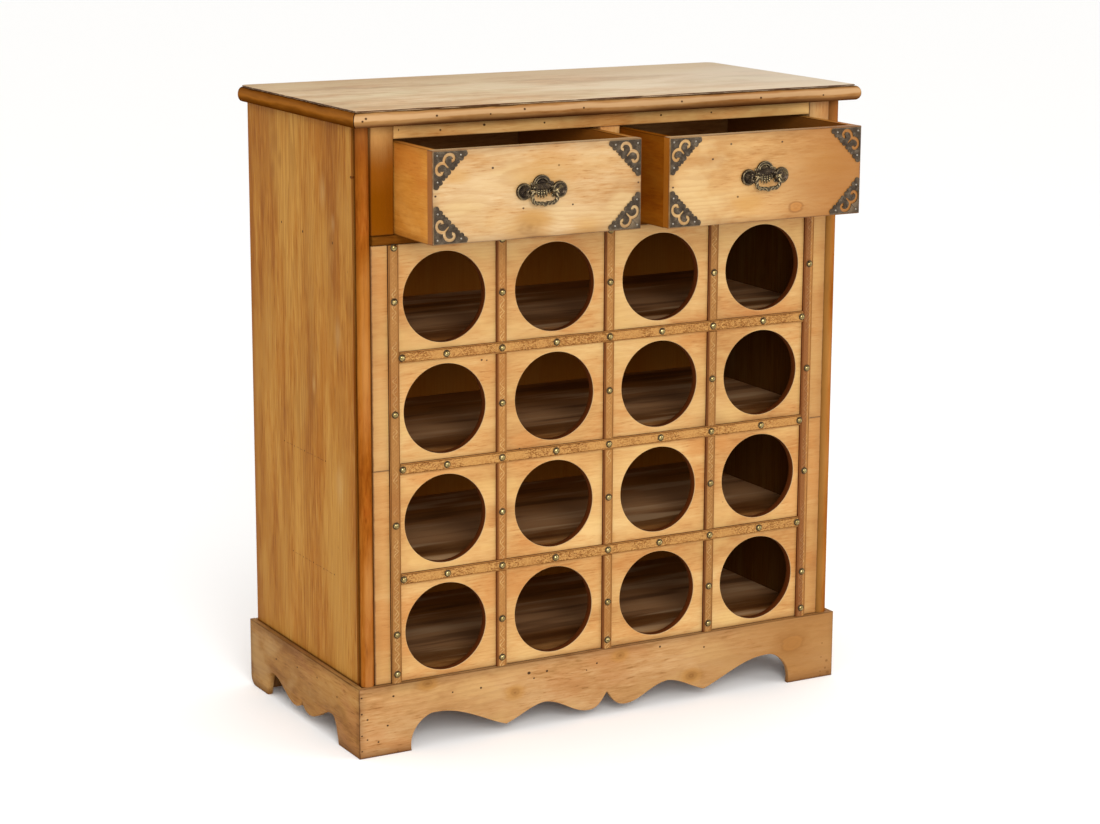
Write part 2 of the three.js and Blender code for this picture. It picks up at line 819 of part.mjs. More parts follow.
// One drawer. Its group's y = 0 is the outer face of its front.
function buildDrawer(side, sign, openBy) {
  const drawer = new THREE.Group();
  drawer.position.set(sign * openingCentre, -openBy, openingBottom);
  cabinet.add(drawer);
  const half = openingWidth / 2 - drawerEndGap;
  const bodyHalf = half - drawerBodySetback;
  const top = drawerOpeningHeight - drawerTopGap;
  const sideInner = bodyHalf - drawerSideThickness;
  const fitHalf = sideInner - jointGap;
  const bodyFront = drawerFrontThickness + jointGap;
  addBoard(
    drawer,
    `drawer_${side}_front`,
    [-half, 0, drawerFrontLift],
    [half, drawerFrontThickness, top],
    'palePine',
  );
  [['left_side', -1], ['right_side', 1]].forEach(([name, hand]) => {
    const xs = [hand * sideInner, hand * bodyHalf].sort((a, b) => a - b);
    addBoard(
      drawer,
      `drawer_${side}_${name}`,
      [xs[0], bodyFront, jointGap],
      [xs[1], drawerDepth, top],
      'honeyPine',
    );
  });
  addBoard(
    drawer,
    `drawer_${side}_back`,
    [-fitHalf, drawerDepth - drawerBackThickness, jointGap],
    [fitHalf, drawerDepth, top - drawerBackDrop],
    'honeyPine',
  );
  addBoard(
    drawer,
    `drawer_${side}_bottom`,
    [-fitHalf, bodyFront, drawerBottomRise],
    [fitHalf, drawerDepth - drawerBackThickness - jointGap, drawerBottomRise + drawerBottomThickness],
    'darkInside',
  );
  const plates = [
    ['top_left', 1, -1],
    ['top_right', -1, -1],
    ['bottom_left', 1, 1],
    ['bottom_right', -1, 1],
  ];
  plates.forEach(([corner, signX, signZ]) => {
    const x = -signX * (half - plateInset);
    const z = signZ > 0 ? drawerFrontLift + plateInset : top - plateInset;
    const y = -jointGap - plateThickness;
    addPiece(drawer, `corner_plate_${side}_${corner}`, cornerPlate(signX, signZ), 'iron', x, y, z);
  });
  const pullX = -sign * pullTowardsMiddle;
  const pullZ = (drawerFrontLift + top) / 2 + pullRise;
  addPiece(drawer, `pull_backplate_${side}`, backplateGeometry(), 'bronze', pullX, -jointGap, pullZ);
  const pivotY = -jointGap - pivotStandoff;
  addPiece(drawer, `pull_bail_${side}`, bailGeometry(), 'bronze', pullX, pivotY, pullZ - pivotDrop);
}

buildTop();
buildBeads();
buildCarcassBoards();
buildShelves();
buildBottleFront();
buildVerticalStraps();
buildHorizontalStraps();
buildFrontApron();
buildSideAprons();
buildCornerBlocks();
buildDrawer('left', -1, leftDrawerOpen);
buildDrawer('right', 1, rightDrawerOpen);

// The origin is the middle of the whole outline, on the floor
const pullReach = jointGap + pivotStandoff + Math.max(postRadius, bailRadius);
const furthestFront = -Math.max(leftDrawerOpen, rightDrawerOpen) - pullReach;
cabinet.position.y = -(furthestFront + plinthBack) / 2;

export default cabinet;
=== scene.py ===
import math
import random

import bmesh
import bpy
from mathutils import Matrix, Vector, noise


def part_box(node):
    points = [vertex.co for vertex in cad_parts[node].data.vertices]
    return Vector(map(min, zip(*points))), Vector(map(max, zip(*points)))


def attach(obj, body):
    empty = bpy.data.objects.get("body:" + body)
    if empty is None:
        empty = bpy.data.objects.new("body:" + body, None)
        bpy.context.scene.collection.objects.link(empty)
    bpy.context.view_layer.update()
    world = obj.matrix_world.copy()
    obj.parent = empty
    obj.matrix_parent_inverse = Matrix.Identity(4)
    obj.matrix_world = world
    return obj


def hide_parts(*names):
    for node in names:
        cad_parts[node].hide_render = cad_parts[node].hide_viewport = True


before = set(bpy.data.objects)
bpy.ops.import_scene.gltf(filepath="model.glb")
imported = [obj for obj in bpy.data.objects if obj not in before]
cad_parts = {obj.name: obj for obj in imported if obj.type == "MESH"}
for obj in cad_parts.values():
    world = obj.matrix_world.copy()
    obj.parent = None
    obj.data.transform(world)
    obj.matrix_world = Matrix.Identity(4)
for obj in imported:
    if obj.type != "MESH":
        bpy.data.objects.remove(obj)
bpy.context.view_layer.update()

mm = 0.001
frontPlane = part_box("bottle_front_upper")[0].y          # front face of the stiles and pierced boards
print("frame loaded,", len(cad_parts), "nodes")


# Shader maths

class Wire:
    # An output of a node. Python's signs on it add Math nodes.
    def __init__(self, sheet, socket):
        self.sheet = sheet
        self.socket = socket

    def __add__(self, other):
        return self.sheet.maths("ADD", self, other)

    def __radd__(self, other):
        return self.sheet.maths("ADD", other, self)

    def __sub__(self, other):
        return self.sheet.maths("SUBTRACT", self, other)

    def __rsub__(self, other):
        return self.sheet.maths("SUBTRACT", other, self)

    def __mul__(self, other):
        return self.sheet.maths("MULTIPLY", self, other)

    def __rmul__(self, other):
        return self.sheet.maths("MULTIPLY", other, self)

    def __truediv__(self, other):
        return self.sheet.maths("DIVIDE", self, other)

    def __rtruediv__(self, other):
        return self.sheet.maths("DIVIDE", other, self)


class Sheet:
    # A material and the nodes drawn on it
    def __init__(self, name):
        self.material = bpy.data.materials.new(name)
        self.material.use_nodes = True
        self.tree = self.material.node_tree
        self.tree.nodes.clear()

    def node(self, kind, settings=None, sockets=None, output=0):
        made = self.tree.nodes.new("ShaderNode" + kind)
        for key, value in (settings or {}).items():
            if key == "stops":
                self.setStops(made.color_ramp, value)
            else:
                setattr(made, key, value)
        for key, value in (sockets or {}).items():
            if isinstance(value, Wire):
                self.tree.links.new(value.socket, made.inputs[key])
            else:
                made.inputs[key].default_value = value
        return Wire(self, made.outputs[output]) if made.outputs else made

    def setStops(self, ramp, stops):
        while len(ramp.elements) < len(stops):
            ramp.elements.new(1)
        for element, (place, colour) in zip(ramp.elements, stops):
            element.position = place
            element.color = colour

    def maths(self, operation, *values):
        return self.node("Math", {"operation": operation}, dict(enumerate(values)))

    def length(self, first, second):
        return self.maths("SQRT", first * first + second * second)

    def split(self, vector):
        first = self.node("SeparateXYZ", sockets={0: vector})
        return [Wire(self, output) for output in first.socket.node.outputs]

    def join(self, x, y, z):
        return self.node("CombineXYZ", sockets={0: x, 1: y, 2: z})

    def place(self):
        return self.node("TexCoord", output="Object")

    def axes(self):
        return dict(zip("xyz", self.split(self.place())))

    def ease(self, value, low, high, start=0.0, end=1.0):
        sockets = {0: value, 1: low, 2: high, 3: start, 4: end}
        return self.node("MapRange", {"interpolation_type": "SMOOTHSTEP"}, sockets)

    def fade(self, distance, low, high, start=0.0, end=1.0):
        # ease, from a low to a high distance in mm
        return self.ease(distance, low * mm, high * mm, start, end)

    def cloud(self, place, scale=1.0, detail=2.0, roughness=0.5):
        sockets = {"Vector": place, "Scale": scale, "Detail": detail, "Roughness": roughness}
        return self.node("TexNoise", sockets=sockets)

    def ramp(self, value, stops, depth=1.0):
        tinted = [(place, tint(paint, depth)) for place, paint in stops]
        return self.node("ValToRGB", {"stops": tinted}, {0: value})

    def mix(self, factor, first, second):
        return self.node("Mix", {"data_type": "RGBA"}, {0: factor, 6: first, 7: second}, 2)

    def layer(self, colour, coats, depth=1.0):
        # Each coat is a factor and what covers that share: an sRGB paint or a wire
        for factor, paint in coats:
            over = paint if isinstance(paint, Wire) else tint(paint, depth)
            colour = self.mix(factor, colour, over)
        return colour

    def finish(self, sockets, height=None, depth=0.0):
        if height is not None:
            sockets["Normal"] = self.node("Bump", sockets={"Distance": depth * mm, "Height": height})
        shader = self.node("BsdfPrincipled", sockets=sockets)
        self.node("OutputMaterial", sockets={"Surface": shader})
        return self.material


def tint(colour, depth=1.0):
    # An sRGB colour of 0 to 255 as the linear RGBA of a socket, darkened by depth
    shares = [value / 255 for value in colour]
    linear = [s / 12.92 if s < 0.04045 else ((s + 0.055) / 1.055) ** 2.4 for s in shares]
    return tuple(value * depth for value in linear) + (1.0,)


# Waxed pine: patches and blush of stain, short wisps and fibres along the grain, growth rings
# round a pith that wanders along the board, knots and nail marks by place, grime at the edges

pineBase = {
    "ringShare": 0.25, "edgeShare": 0.3, "patchShare": 1.2, "wispShare": 0.8, "stretch": 1.0,
    "roughness": 0.42, "coat": 0.0, "coatRoughness": 0.22, "gloss": 0.0, "ior": 1.48,
}
pineLooks = {
    "front": {
        "pale": (240, 196, 128), "honey": (222, 168, 100), "brown": (192, 130, 66),
        "line": (160, 98, 44), "blush": (214, 142, 72), "cream": (236, 192, 118), "edge": (104, 54, 18),
        "depth": 0.52, "ringShare": 0.1, "edgeShare": 0.6, "patchShare": 1.3, "wispShare": 0.6,
        "roughness": 0.45, "coat": 0.03, "gloss": 0.15,
    },
    "drawer": {
        "pale": (246, 210, 156), "honey": (230, 186, 128), "brown": (204, 148, 84),
        "line": (176, 116, 60), "blush": (226, 168, 100), "cream": (244, 208, 146), "edge": (90, 46, 16),
        "depth": 0.49, "ringShare": 0.2, "edgeShare": 0.7, "coat": 0.04, "gloss": 0.2,
    },
    "drawerSide": {
        "pale": (224, 156, 70), "honey": (206, 134, 50), "brown": (172, 102, 30),
        "line": (150, 82, 22), "blush": (194, 112, 36), "cream": (222, 158, 76), "edge": (70, 32, 8),
        "depth": 0.75, "ringShare": 0.15, "edgeShare": 0.6, "patchShare": 1.1, "wispShare": 0.5,
        "roughness": 0.48, "gloss": 0.06,
    },
    "side": {
        "pale": (214, 156, 74), "honey": (192, 128, 50), "brown": (162, 96, 30),
        "line": (136, 78, 16), "blush": (186, 114, 34), "cream": (210, 154, 74), "edge": (112, 50, 8),
        "depth": 0.65, "ringShare": 0.35, "edgeShare": 0.45, "patchShare": 1.4, "wispShare": 1.3,
        "roughness": 0.45, "gloss": 0.02, "stretch": 0.45,
    },
    "plinth": {
        "pale": (226, 180, 124), "honey": (208, 156, 98), "brown": (174, 122, 66),
        "line": (140, 88, 38), "blush": (200, 138, 82), "cream": (224, 178, 114), "edge": (80, 42, 16),
        "depth": 0.58, "ringShare": 0.15, "edgeShare": 0.75, "wispShare": 0.9, "roughness": 0.5,
        "gloss": 0.1,
    },
    "top": {
        "pale": (216, 192, 156), "honey": (198, 168, 128), "brown": (170, 136, 94),
        "line": (154, 116, 74), "blush": (196, 156, 112), "cream": (214, 196, 156), "edge": (110, 76, 42),
        "depth": 0.89, "ringShare": 0.3, "patchShare": 1.5, "roughness": 0.5, "gloss": 0.06, "ior": 1.5,
    },
    "nose": {
        "pale": (214, 160, 100), "honey": (194, 138, 80), "brown": (158, 102, 52),
        "line": (134, 82, 38), "blush": (188, 124, 66), "cream": (216, 166, 104), "edge": (90, 48, 18),
        "depth": 0.48, "wispShare": 0.7, "ior": 1.5,
    },
    "bead": {
        "pale": (200, 126, 50), "honey": (180, 102, 30), "brown": (144, 72, 14),
        "line": (122, 58, 12), "blush": (178, 88, 26), "cream": (196, 124, 46), "edge": (60, 26, 6),
        "depth": 0.52, "edgeShare": 0.5, "patchShare": 1.4, "ior": 1.5,
    },
    # painted shade: a dark look for the drawer rail, which lies in shadow under the drawers
    "rail": {
        "pale": (170, 110, 38), "honey": (144, 86, 24), "brown": (112, 62, 14),
        "line": (96, 50, 10), "blush": (134, 72, 18), "cream": (160, 106, 36), "edge": (56, 26, 6),
        "depth": 0.44, "edgeShare": 0.6, "wispShare": 0.7, "roughness": 0.5,
    },
    "inside": {
        "pale": (190, 138, 84), "honey": (162, 108, 56), "brown": (128, 78, 34),
        "line": (92, 50, 18), "blush": (146, 88, 40), "cream": (178, 126, 72), "edge": (50, 26, 8),
        "depth": 0.72, "patchShare": 1.1, "wispShare": 0.5, "roughness": 0.65, "gloss": 0.04,
    },
}
grainClouds = {          # how fine along and across the grain, detail and roughness of the noise
    "warp": (2.4, 10.0, 2, 0.5), "patch": (6.0, 17.0, 3, 0.5), "blush": (9.0, 16.0, 4, 0.6),
    "streak": (15.0, 95.0, 4, 0.6), "wisp": (55.0, 420.0, 3, 0.6), "fibre": (60.0, 1300.0, 2, 0.5),
    "band": (3.0, 24.0, 3, 0.55),
}
grain = {          # sizes in mm
    "spread": 4.0, "sway": 9.0, "pith": 42.0, "pithShares": (0.7, 1.3), "pithWander": 62.0,
    "pithOff": 40.0, "wanderScale": 1.3, "wanderLevel": 0.4, "wanderSpread": 9.0, "ringPitch": 4.2,
    "ringWave": 1.6, "fibreShare": 0.3, "blushShift": 7.0, "ragged": 2.4, "edgeWidth": 1.6,
    "grimeWidth": 12.0, "grimeShare": 0.4, "speckCell": 42.0, "speckStretch": 0.6, "speckRadius": 0.03,
    "speckHeart": 0.4, "darkChance": 0.7, "paleChance": 0.16, "darkShare": 0.75, "paleShare": 0.5,
    "evenStain": 5.0, "stainWander": 0.8,
}
fades = {          # where each effect starts and ends in its noise or distance, and how strongly
    "broken": (0.42, 0.6, 0.35, 1.2), "blush": (0.48, 0.66, 0.0, 0.6), "cream": (0.34, 0.48, 0.55, 0.0),
    "stroke": (0.3, 0.4, 0.55, 0.0), "ringRise": (0.3, 0.86), "ringFall": (0.88, 1.0, 1.0, 0.0),
    "lined": (0.38, 0.62, 1.0, 0.25), "knotRings": (0.2, 2.6, 1.4, 0.0), "knotShade": (0.8, 2.6, 0.14, 0.0),
    "knotHalo": (0.9, 2.2, 0.5, 0.0), "knotCore": (0.1, 1.3, 0.62, 0.0), "collarIn": (0.78, 0.95),
    "collarOut": (1.0, 1.25, 1.0, 0.0), "knotHeart": (0.8, 1.0, 0.6, 0.0),
    "darkBand": (0.5, 0.66, 0.0, 0.6), "paleBand": (0.34, 0.48, 0.5, 0.0),
}
grainPaints = {
    "halo": (204, 144, 66), "core": (134, 82, 30), "heart": (226, 150, 66), "collar": (140, 82, 32),
    "darkSpeck": (84, 46, 20), "paleSpeck": (255, 226, 170), "darkBand": (74, 36, 10),
    "paleBand": (226, 186, 140),
}
knotShape = {"stretch": 1.5, "rough": 1.3, "lines": 11.0, "lineShare": 0.2, "collarShare": 0.55}
markRough = 0.7
markStyles = {
    # stretch along the grain, colour, how much of it, and where it fades, in sizes of the mark
    "dot": (1.2, (56, 28, 12), 0.95, 0.55, 1.1),
    "dash": (0.5, (70, 38, 16), 0.85, 0.6, 1.0),
    "scratch": (0.12, (120, 70, 28), 0.5, 0.6, 1.0),
    "shade": (1.8, (150, 92, 36), 0.4, 0.2, 1.5),
    "honeyed": (1.7, (222, 164, 82), 0.55, 0.2, 1.5),
    "glow": (2.4, (244, 208, 140), 0.2, 0.0, 1.4),
}


def edgeDistance(sheet, axes, low, high):
    # On the skin of a box the middle one of the three depths is the way to the nearest edge
    depths = []
    for letter, start, end in zip("xyz", low, high):
        off = sheet.maths("ABSOLUTE", axes[letter] - (start + end) / 2)
        depths.append((end - start) / 2 - off)
    least = sheet.maths("MINIMUM", depths[0], depths[1])
    most = sheet.maths("MAXIMUM", depths[0], depths[1])
    return sheet.maths("MAXIMUM", least, sheet.maths("MINIMUM", most, depths[2]))


def grainCloud(sheet, name, along, across, through):
    fineAlong, fineAcross, detail, roughness = grainClouds[name]
    place = sheet.join(along * fineAlong, across * fineAcross, through * fineAcross)
    return sheet.cloud(place, 1.0, detail, roughness)


def pineNodes(sheet, name, look, places, middle, marks=()):
    # places are the wires along, across and through the board, middle its centre across
    luck = random.Random(name)
    along, across, through = places
    u = along * look["stretch"] + luck.uniform(-grain["spread"], grain["spread"])
    v = across + luck.uniform(-grain["spread"], grain["spread"])
    w = through + luck.uniform(-grain["spread"], grain["spread"])
    warp = (grainCloud(sheet, "warp", u, v, w) - 0.5) * (grain["sway"] * mm)
    swayed = v + warp
    patch = grainCloud(sheet, "patch", u, swayed, w)
    blush = grainCloud(sheet, "blush", u + grain["blushShift"], swayed, w)
    streak = grainCloud(sheet, "streak", u, swayed, w)
    wisp = grainCloud(sheet, "wisp", u, swayed, w)
    fibre = grainCloud(sheet, "fibre", u, v, w)
    path = sheet.join(u * grain["wanderScale"], grain["wanderLevel"], luck.uniform(0, grain["wanderSpread"]))
    pith = luck.uniform(*grain["pithShares"]) * grain["pith"] * mm
    depth = (sheet.cloud(path) - 0.5) * (grain["pithWander"] * mm) + pith
    sideways = across - (middle + luck.uniform(-1, 1) * grain["pithOff"] * mm) + warp
    rings = sheet.length(sideways, depth) / (grain["ringPitch"] * mm) + streak * grain["ringWave"]
    broken = sheet.ease(blush, *fades["broken"])          # strokes come and go along the board
    tone = 0.5 + (patch - 0.5) * look["patchShare"] + (streak - 0.5) * broken * look["wispShare"]
    tone = tone + (wisp - 0.5) * broken * look["wispShare"] + (fibre - 0.5) * grain["fibreShare"]
    knots, spots = [], []
    for kind, markAlong, markAcross, size in marks:
        isSpot = kind in markStyles
        stretch = markStyles[kind][0] if isSpot else knotShape["stretch"]
        rough = markRough if isSpot else knotShape["rough"]
        offAcross = (across - markAcross * mm) / (size * mm)
        offAlong = (along - markAlong * mm) / (size * stretch * mm)
        away = sheet.length(offAcross, offAlong) + (streak - 0.5) * rough
        (spots if isSpot else knots).append((kind, away))
        if not isSpot:
            rings = rings + sheet.ease(away, *fades["knotRings"])
            tone = tone - sheet.ease(away, *fades["knotShade"])
    saw = sheet.maths("FRACT", rings)
    ring = sheet.ease(saw, *fades["ringRise"]) * sheet.ease(saw, *fades["ringFall"])
    lined = ring * sheet.ease(blush, *fades["lined"])
    strokes = sheet.ease(wisp, *fades["stroke"]) * broken
    drawn = sheet.maths("MAXIMUM", lined * look["ringShare"], strokes * look["wispShare"])
    coats = [(sheet.ease(blush, *fades["blush"]), look["blush"]),
             (sheet.ease(blush, *fades["cream"]), look["cream"]), (drawn, look["line"])]
    for kind, away in knots:
        wave = knotShape["lineShare"] * sheet.maths("SINE", away * knotShape["lines"])
        lines = 1 - knotShape["lineShare"] + wave
        if kind == "knot":
            coats += [(sheet.ease(away, *fades["knotHalo"]), grainPaints["halo"]),
                      (sheet.ease(away, *fades["knotCore"]) * lines, grainPaints["core"])]
        else:
            collar = sheet.ease(away, *fades["collarIn"]) * sheet.ease(away, *fades["collarOut"])
            heart = sheet.ease(away, *fades["knotHeart"])
            shown = collar * knotShape["collarShare"] + heart * (1 - lines)
            coats += [(heart, grainPaints["heart"]), (shown, grainPaints["collar"])]
    for kind, away in spots:
        _, paint, share, start, end = markStyles[kind]
        coats.append((sheet.ease(away, start, end, share, 0.0), paint))
    stops = [(0.2, look["brown"]), (0.5, look["honey"]), (0.8, look["pale"])]
    colour = sheet.layer(sheet.ramp(tone, stops, look["depth"]), coats, look["depth"])
    return {"colour": colour, "ring": ring, "fibre": fibre, "wisp": wisp, "streak": streak,
            "patch": patch, "u": u, "v": v, "w": w}


waxes = {          # how much each part of the grain dulls the wax and stands up, and the relief in mm
    "board": ({"patch": 0.25, "wisp": 0.15}, {"fibre": 0.4, "ring": 0.12, "wisp": 0.5, "streak": 0.5}, 0.25),
    "top": ({"patch": 0.2}, {"fibre": 0.4, "ring": 0.3, "wisp": 0.4, "streak": 0.4}, 0.2),
    "bead": ({"patch": 0.25}, {"fibre": 0.4, "wisp": 0.4, "streak": 0.5}, 0.25),
}


def waxed(sheet, made, look, coats, wax, sunk=0.0):
    uneven, relief, depth = waxes[wax]
    roughness = look["roughness"] + sum((made[part] - 0.5) * share for part, share in uneven.items())
    height = sum(made[part] * share for part, share in relief.items()) - sunk
    return sheet.finish({
        "Base Color": sheet.layer(made["colour"], coats, look["depth"]), "Roughness": roughness,
        "Coat Weight": look["coat"], "Coat Roughness": look["coatRoughness"], "IOR": look["ior"],
        "Specular IOR Level": look["gloss"],
    }, height, depth)


def pine(name, lookName, way, box, marks=(), stains=(), change=None, bands=False):
    # way names the axes along, across and through the board. A stain is an axis, a start in
    # metres, a direction, a colour, its soft width in mm and its strength.
    look = {**pineBase, **pineLooks[lookName], **(change or {})}
    sheet = Sheet(name)
    axes = sheet.axes()
    index = "xyz".index(way[1])
    made = pineNodes(sheet, name, look, [axes[letter] for letter in way],
                     (box[0][index] + box[1][index]) / 2, marks)
    drift = made["patch"] - 0.5
    cells = sheet.join(made["u"] * grain["speckStretch"], made["v"], made["w"])
    cell = sheet.node("TexVoronoi", sockets={"Vector": cells, "Scale": grain["speckCell"]})
    chance = sheet.split(Wire(sheet, cell.socket.node.outputs["Color"]))[0]
    speck = sheet.ease(cell, grain["speckRadius"] * grain["speckHeart"], grain["speckRadius"], 1.0, 0.0)
    darkSpeck = speck * sheet.maths("GREATER_THAN", chance, grain["darkChance"])
    paleSpeck = speck * sheet.maths("LESS_THAN", chance, grain["paleChance"])
    edge = edgeDistance(sheet, axes, *box) + (made["streak"] - 0.5) * (grain["ragged"] * mm)
    width, share = grain["grimeWidth"], look["edgeShare"] * grain["grimeShare"]
    coats = [(darkSpeck * grain["darkShare"], grainPaints["darkSpeck"]),
             (paleSpeck * grain["paleShare"], grainPaints["paleSpeck"]),
             (sheet.fade(edge + drift * (width * mm), 0.0, width, share, 0.0), look["edge"])]
    for letter, start, direction, paint, width, share in stains:
        past = (axes[letter] - start) * direction
        if width > grain["evenStain"]:
            past = past + drift * (width * grain["stainWander"] * mm)
        coats.append((sheet.fade(past, 0.0, width, 0.0, share), paint))
    if bands:          # dark and pale bands along the board: painted streaks of shade and highlight
        band = grainCloud(sheet, "band", made["u"], made["v"], 0.0)
        coats += [(sheet.ease(band, *fades[key]), grainPaints[key]) for key in ("darkBand", "paleBand")]
    coats.append((sheet.fade(edge, 0.0, grain["edgeWidth"], look["edgeShare"], 0.0), look["edge"]))
    return waxed(sheet, made, look, coats, "board", darkSpeck)


# Mesh helpers

def show(name, data):
    made = bpy.data.objects.new(name, data)
    bpy.context.scene.collection.objects.link(made)
    return made


def reshape(mesh, change):
    shape = bmesh.new()
    shape.from_mesh(mesh)
    change(shape)
    shape.to_mesh(mesh)
    shape.free()


def facedOut(shape):
    bmesh.ops.recalc_face_normals(shape, faces=shape.faces)


def weldedOut(shape):
    bmesh.ops.remove_doubles(shape, verts=shape.verts, dist=1e-6)
    facedOut(shape)


def placePiece(name, mesh, body, material, nodes=(), sharpAngle=32):
    reshape(mesh, weldedOut)
    mesh.shade_smooth()
    mesh.set_sharp_from_angle(angle=math.radians(sharpAngle))
    mesh.materials.clear()
    mesh.materials.append(material)
    piece = show(name, mesh)
    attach(piece, body)
    if nodes:
        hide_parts(*nodes)
    return piece


def skinMesh(name, forms):
    # Each form is a list of rings: quads between them, and a face over each end
    points, faces = [], []
    for rings in forms:
        count, first = len(rings[0]), len(points)
        for level in range(len(rings) - 1):
            for i in range(count):
                a = first + level * count + i
                b = first + level * count + (i + 1) % count
                faces.append((a, b, b + count, a + count))
        last = first + (len(rings) - 1) * count
        faces.append(tuple(first + i for i in reversed(range(count))))
        faces.append(tuple(last + i for i in range(count)))
        points += [tuple(point) for ring in rings for point in ring]
    mesh = bpy.data.meshes.new(name)
    mesh.from_pydata(points, [], faces)
    return mesh


def takeMesh(holder):
    # The mesh that an object's curve or modifiers make, without the object
    graph = bpy.context.evaluated_depsgraph_get()
    mesh = bpy.data.meshes.new_from_object(holder.evaluated_get(graph))
    bpy.data.objects.remove(holder)
    return mesh


def cutPlate(name, outlines, low, high, soft):
    # A plate drawn in X and Z by closed outlines, holes among them, from low to high in Y
    curve = bpy.data.curves.new(name, "CURVE")
    curve.dimensions = "2D"
    curve.fill_mode = "BOTH"
    curve.extrude = (high - low) / 2 - soft * mm
    curve.bevel_depth = soft * mm
    curve.bevel_resolution = 1
    curve.offset = -soft * mm
    for outline in outlines:
        spline = curve.splines.new("POLY")
        spline.points.add(len(outline) - 1)
        for point, (x, z) in zip(spline.points, outline):
            point.co = (x, z, 0, 1)
        spline.use_cyclic_u = True
    mesh = takeMesh(show(name, curve))
    bpy.data.curves.remove(curve)
    middle = low + (high - low) / 2
    mesh.transform(Matrix(((1, 0, 0, 0), (0, 0, -1, middle), (0, 1, 0, 0), (0, 0, 0, 1))))
    return mesh


def wobble(place, size, reach):
    # A small shift that is never positive, from smooth noise of that size
    return -reach * (0.5 + 0.5 * noise.noise(Vector(place) / size))


def circle(sides):
    return [(math.cos(2 * math.pi * k / sides), math.sin(2 * math.pi * k / sides)) for k in range(sides)]


def arcPoints(centre, radius, start, end, steps):
    points = []
    for i in range(steps + 1):
        angle = math.radians(start + (end - start) * i / steps)
        points.append((centre[0] + radius * math.cos(angle), centre[1] + radius * math.sin(angle)))
    return points


def bezier(a, b, c, d, steps):
    points = []
    for i in range(1, steps + 1):
        t = i / steps
        shares = ((1 - t) ** 3, 3 * t * (1 - t) ** 2, 3 * t * t * (1 - t), t ** 3)
        points.append(tuple(sum(s * p[k] for s, p in zip(shares, (a, b, c, d))) for k in (0, 1)))
    return points


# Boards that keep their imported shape: softened edges and a pine of their own

def dress(node, lookName, way, soft=0.7, reach=(0, 0), **extra):
    # reach is how far the wood seems to go on past the board, in mm before and behind it
    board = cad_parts[node]
    low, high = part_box(node)
    low, high = low - Vector((0, reach[0] * mm, 0)), high + Vector((0, reach[1] * mm, 0))
    weld = board.modifiers.new("weld", "WELD")
    weld.merge_threshold = 0.01 * mm
    bevel = board.modifiers.new("soft_edges", "BEVEL")
    bevel.width = soft * mm
    bevel.segments = 2
    bevel.limit_method = "ANGLE"
    board.material_slots[0].material = pine(node + "_pine", lookName, way, (low, high), **extra)


# painted shade on the inner faces of the carcass: near for the left wall and the back, far for the darker
# right wall
caveShade = {"near": (142, 76, 14), "far": (60, 24, 4), "skin": 5.0, "soft": 0.8, "share": 0.86}
sideNails = {"rows": [(354.8, 102, 228), (214.5, 80, 206)], "gap": 10.5, "stagger": 0.5,
             "dot": 1.1, "scratch": 6.0, "dotEvery": 3}
sideMarks = [          # kind, height, depth behind the front plane, size
    ("dash", 718.1, 16.6, 4), ("dot", 631.9, 72.2, 1.8), ("dot", 633.9, 160.3, 1.8),
    ("dot", 637.2, 225, 1.5), ("glow", 655, 70, 5), ("glow", 446, 133, 5), ("shade", 634, 76, 6),
    ("shade", 425, 137, 6), ("shade", 738, 240, 9), ("shade", 716, 228, 7), ("shade", 700, 250, 7),
    ("shade", 560, 24, 9), ("glow", 690, 100, 9), ("glow", 330, 60, 12), ("glow", 520, 60, 10),
]
rightMarks = [("knot", 520, 150, 9), ("knot", 240, 70, 6), ("glow", 400, 220, 9)]
backMarks = [("knot", 600, -140, 10), ("knot", 300, 190, 8), ("knot", 430, 20, 6), ("shade", 250, -200, 20)]
railMarks = [("dot", -92.3, 771.5, 1.5), ("dot", -175.1, 773.2, 1.6), ("dot", -234.2, 770.1, 1.4),
             ("dash", -289.4, 773, 1.8), ("dot", 73.6, 772.3, 1.5), ("dot", 147.7, 772, 1.4)]
drawerMarks = {
    "left": [("knot", -167.3, 662.0, 12.5), ("dot", -216.9, 735.3, 1.6), ("dot", -128.4, 733.3, 1.4),
             ("dot", -109.3, 685.3, 1.3), ("dot", -292, 706.5, 1.5), ("dot", -176.2, 685.1, 1.4),
             ("dot", -18.9, 706.1, 1.3), ("honeyed", -152, 722, 24), ("honeyed", -160, 672, 13),
             ("honeyed", -90, 655, 14), ("glow", -215, 672, 14), ("glow", -80, 735, 16),
             ("honeyed", -262, 728, 9), ("glow", -250, 690, 12)],
    "right": [("ringKnot", 200.4, 664.6, 7.5), ("dot", 103.3, 746.9, 1.4), ("dot", 177.8, 745.6, 1.4),
              ("dot", 77.2, 730, 1.4), ("dot", 114.2, 681.7, 1.5), ("dot", 20.9, 698.9, 1.4),
              ("glow", 114, 742.8, 9), ("honeyed", 250, 715, 22), ("glow", 70, 690, 16),
              ("honeyed", 130, 672, 14)],
}
drawerTones = {
    "left": {}, "right": {"honey": (222, 170, 104), "pale": (236, 190, 124), "brown": (194, 136, 70),
                          "depth": 0.52},
    # the left side of the right drawer is in shade
    "shaded": {"depth": 0.34, "pale": (226, 140, 40), "honey": (210, 118, 24), "brown": (172, 84, 10),
               "cream": (222, 138, 44), "blush": (196, 98, 16), "gloss": 0.0},
    "lining": {"left": (160, 92, 28), "right": (116, 64, 20)},
    "endStrip": (187, 107, 16), "topHighlight": (228, 180, 116), "far": (178, 110, 38),
}
shelfLightAndShadow = [          # painted light and shadow across each shelf: depth behind the front edge, colour, soft width, strength
    (22, (84, 42, 16), 14.0, 0.6), (62, (196, 146, 100), 40.0, 0.7), (130, (158, 92, 26), 110.0, 0.85),
]


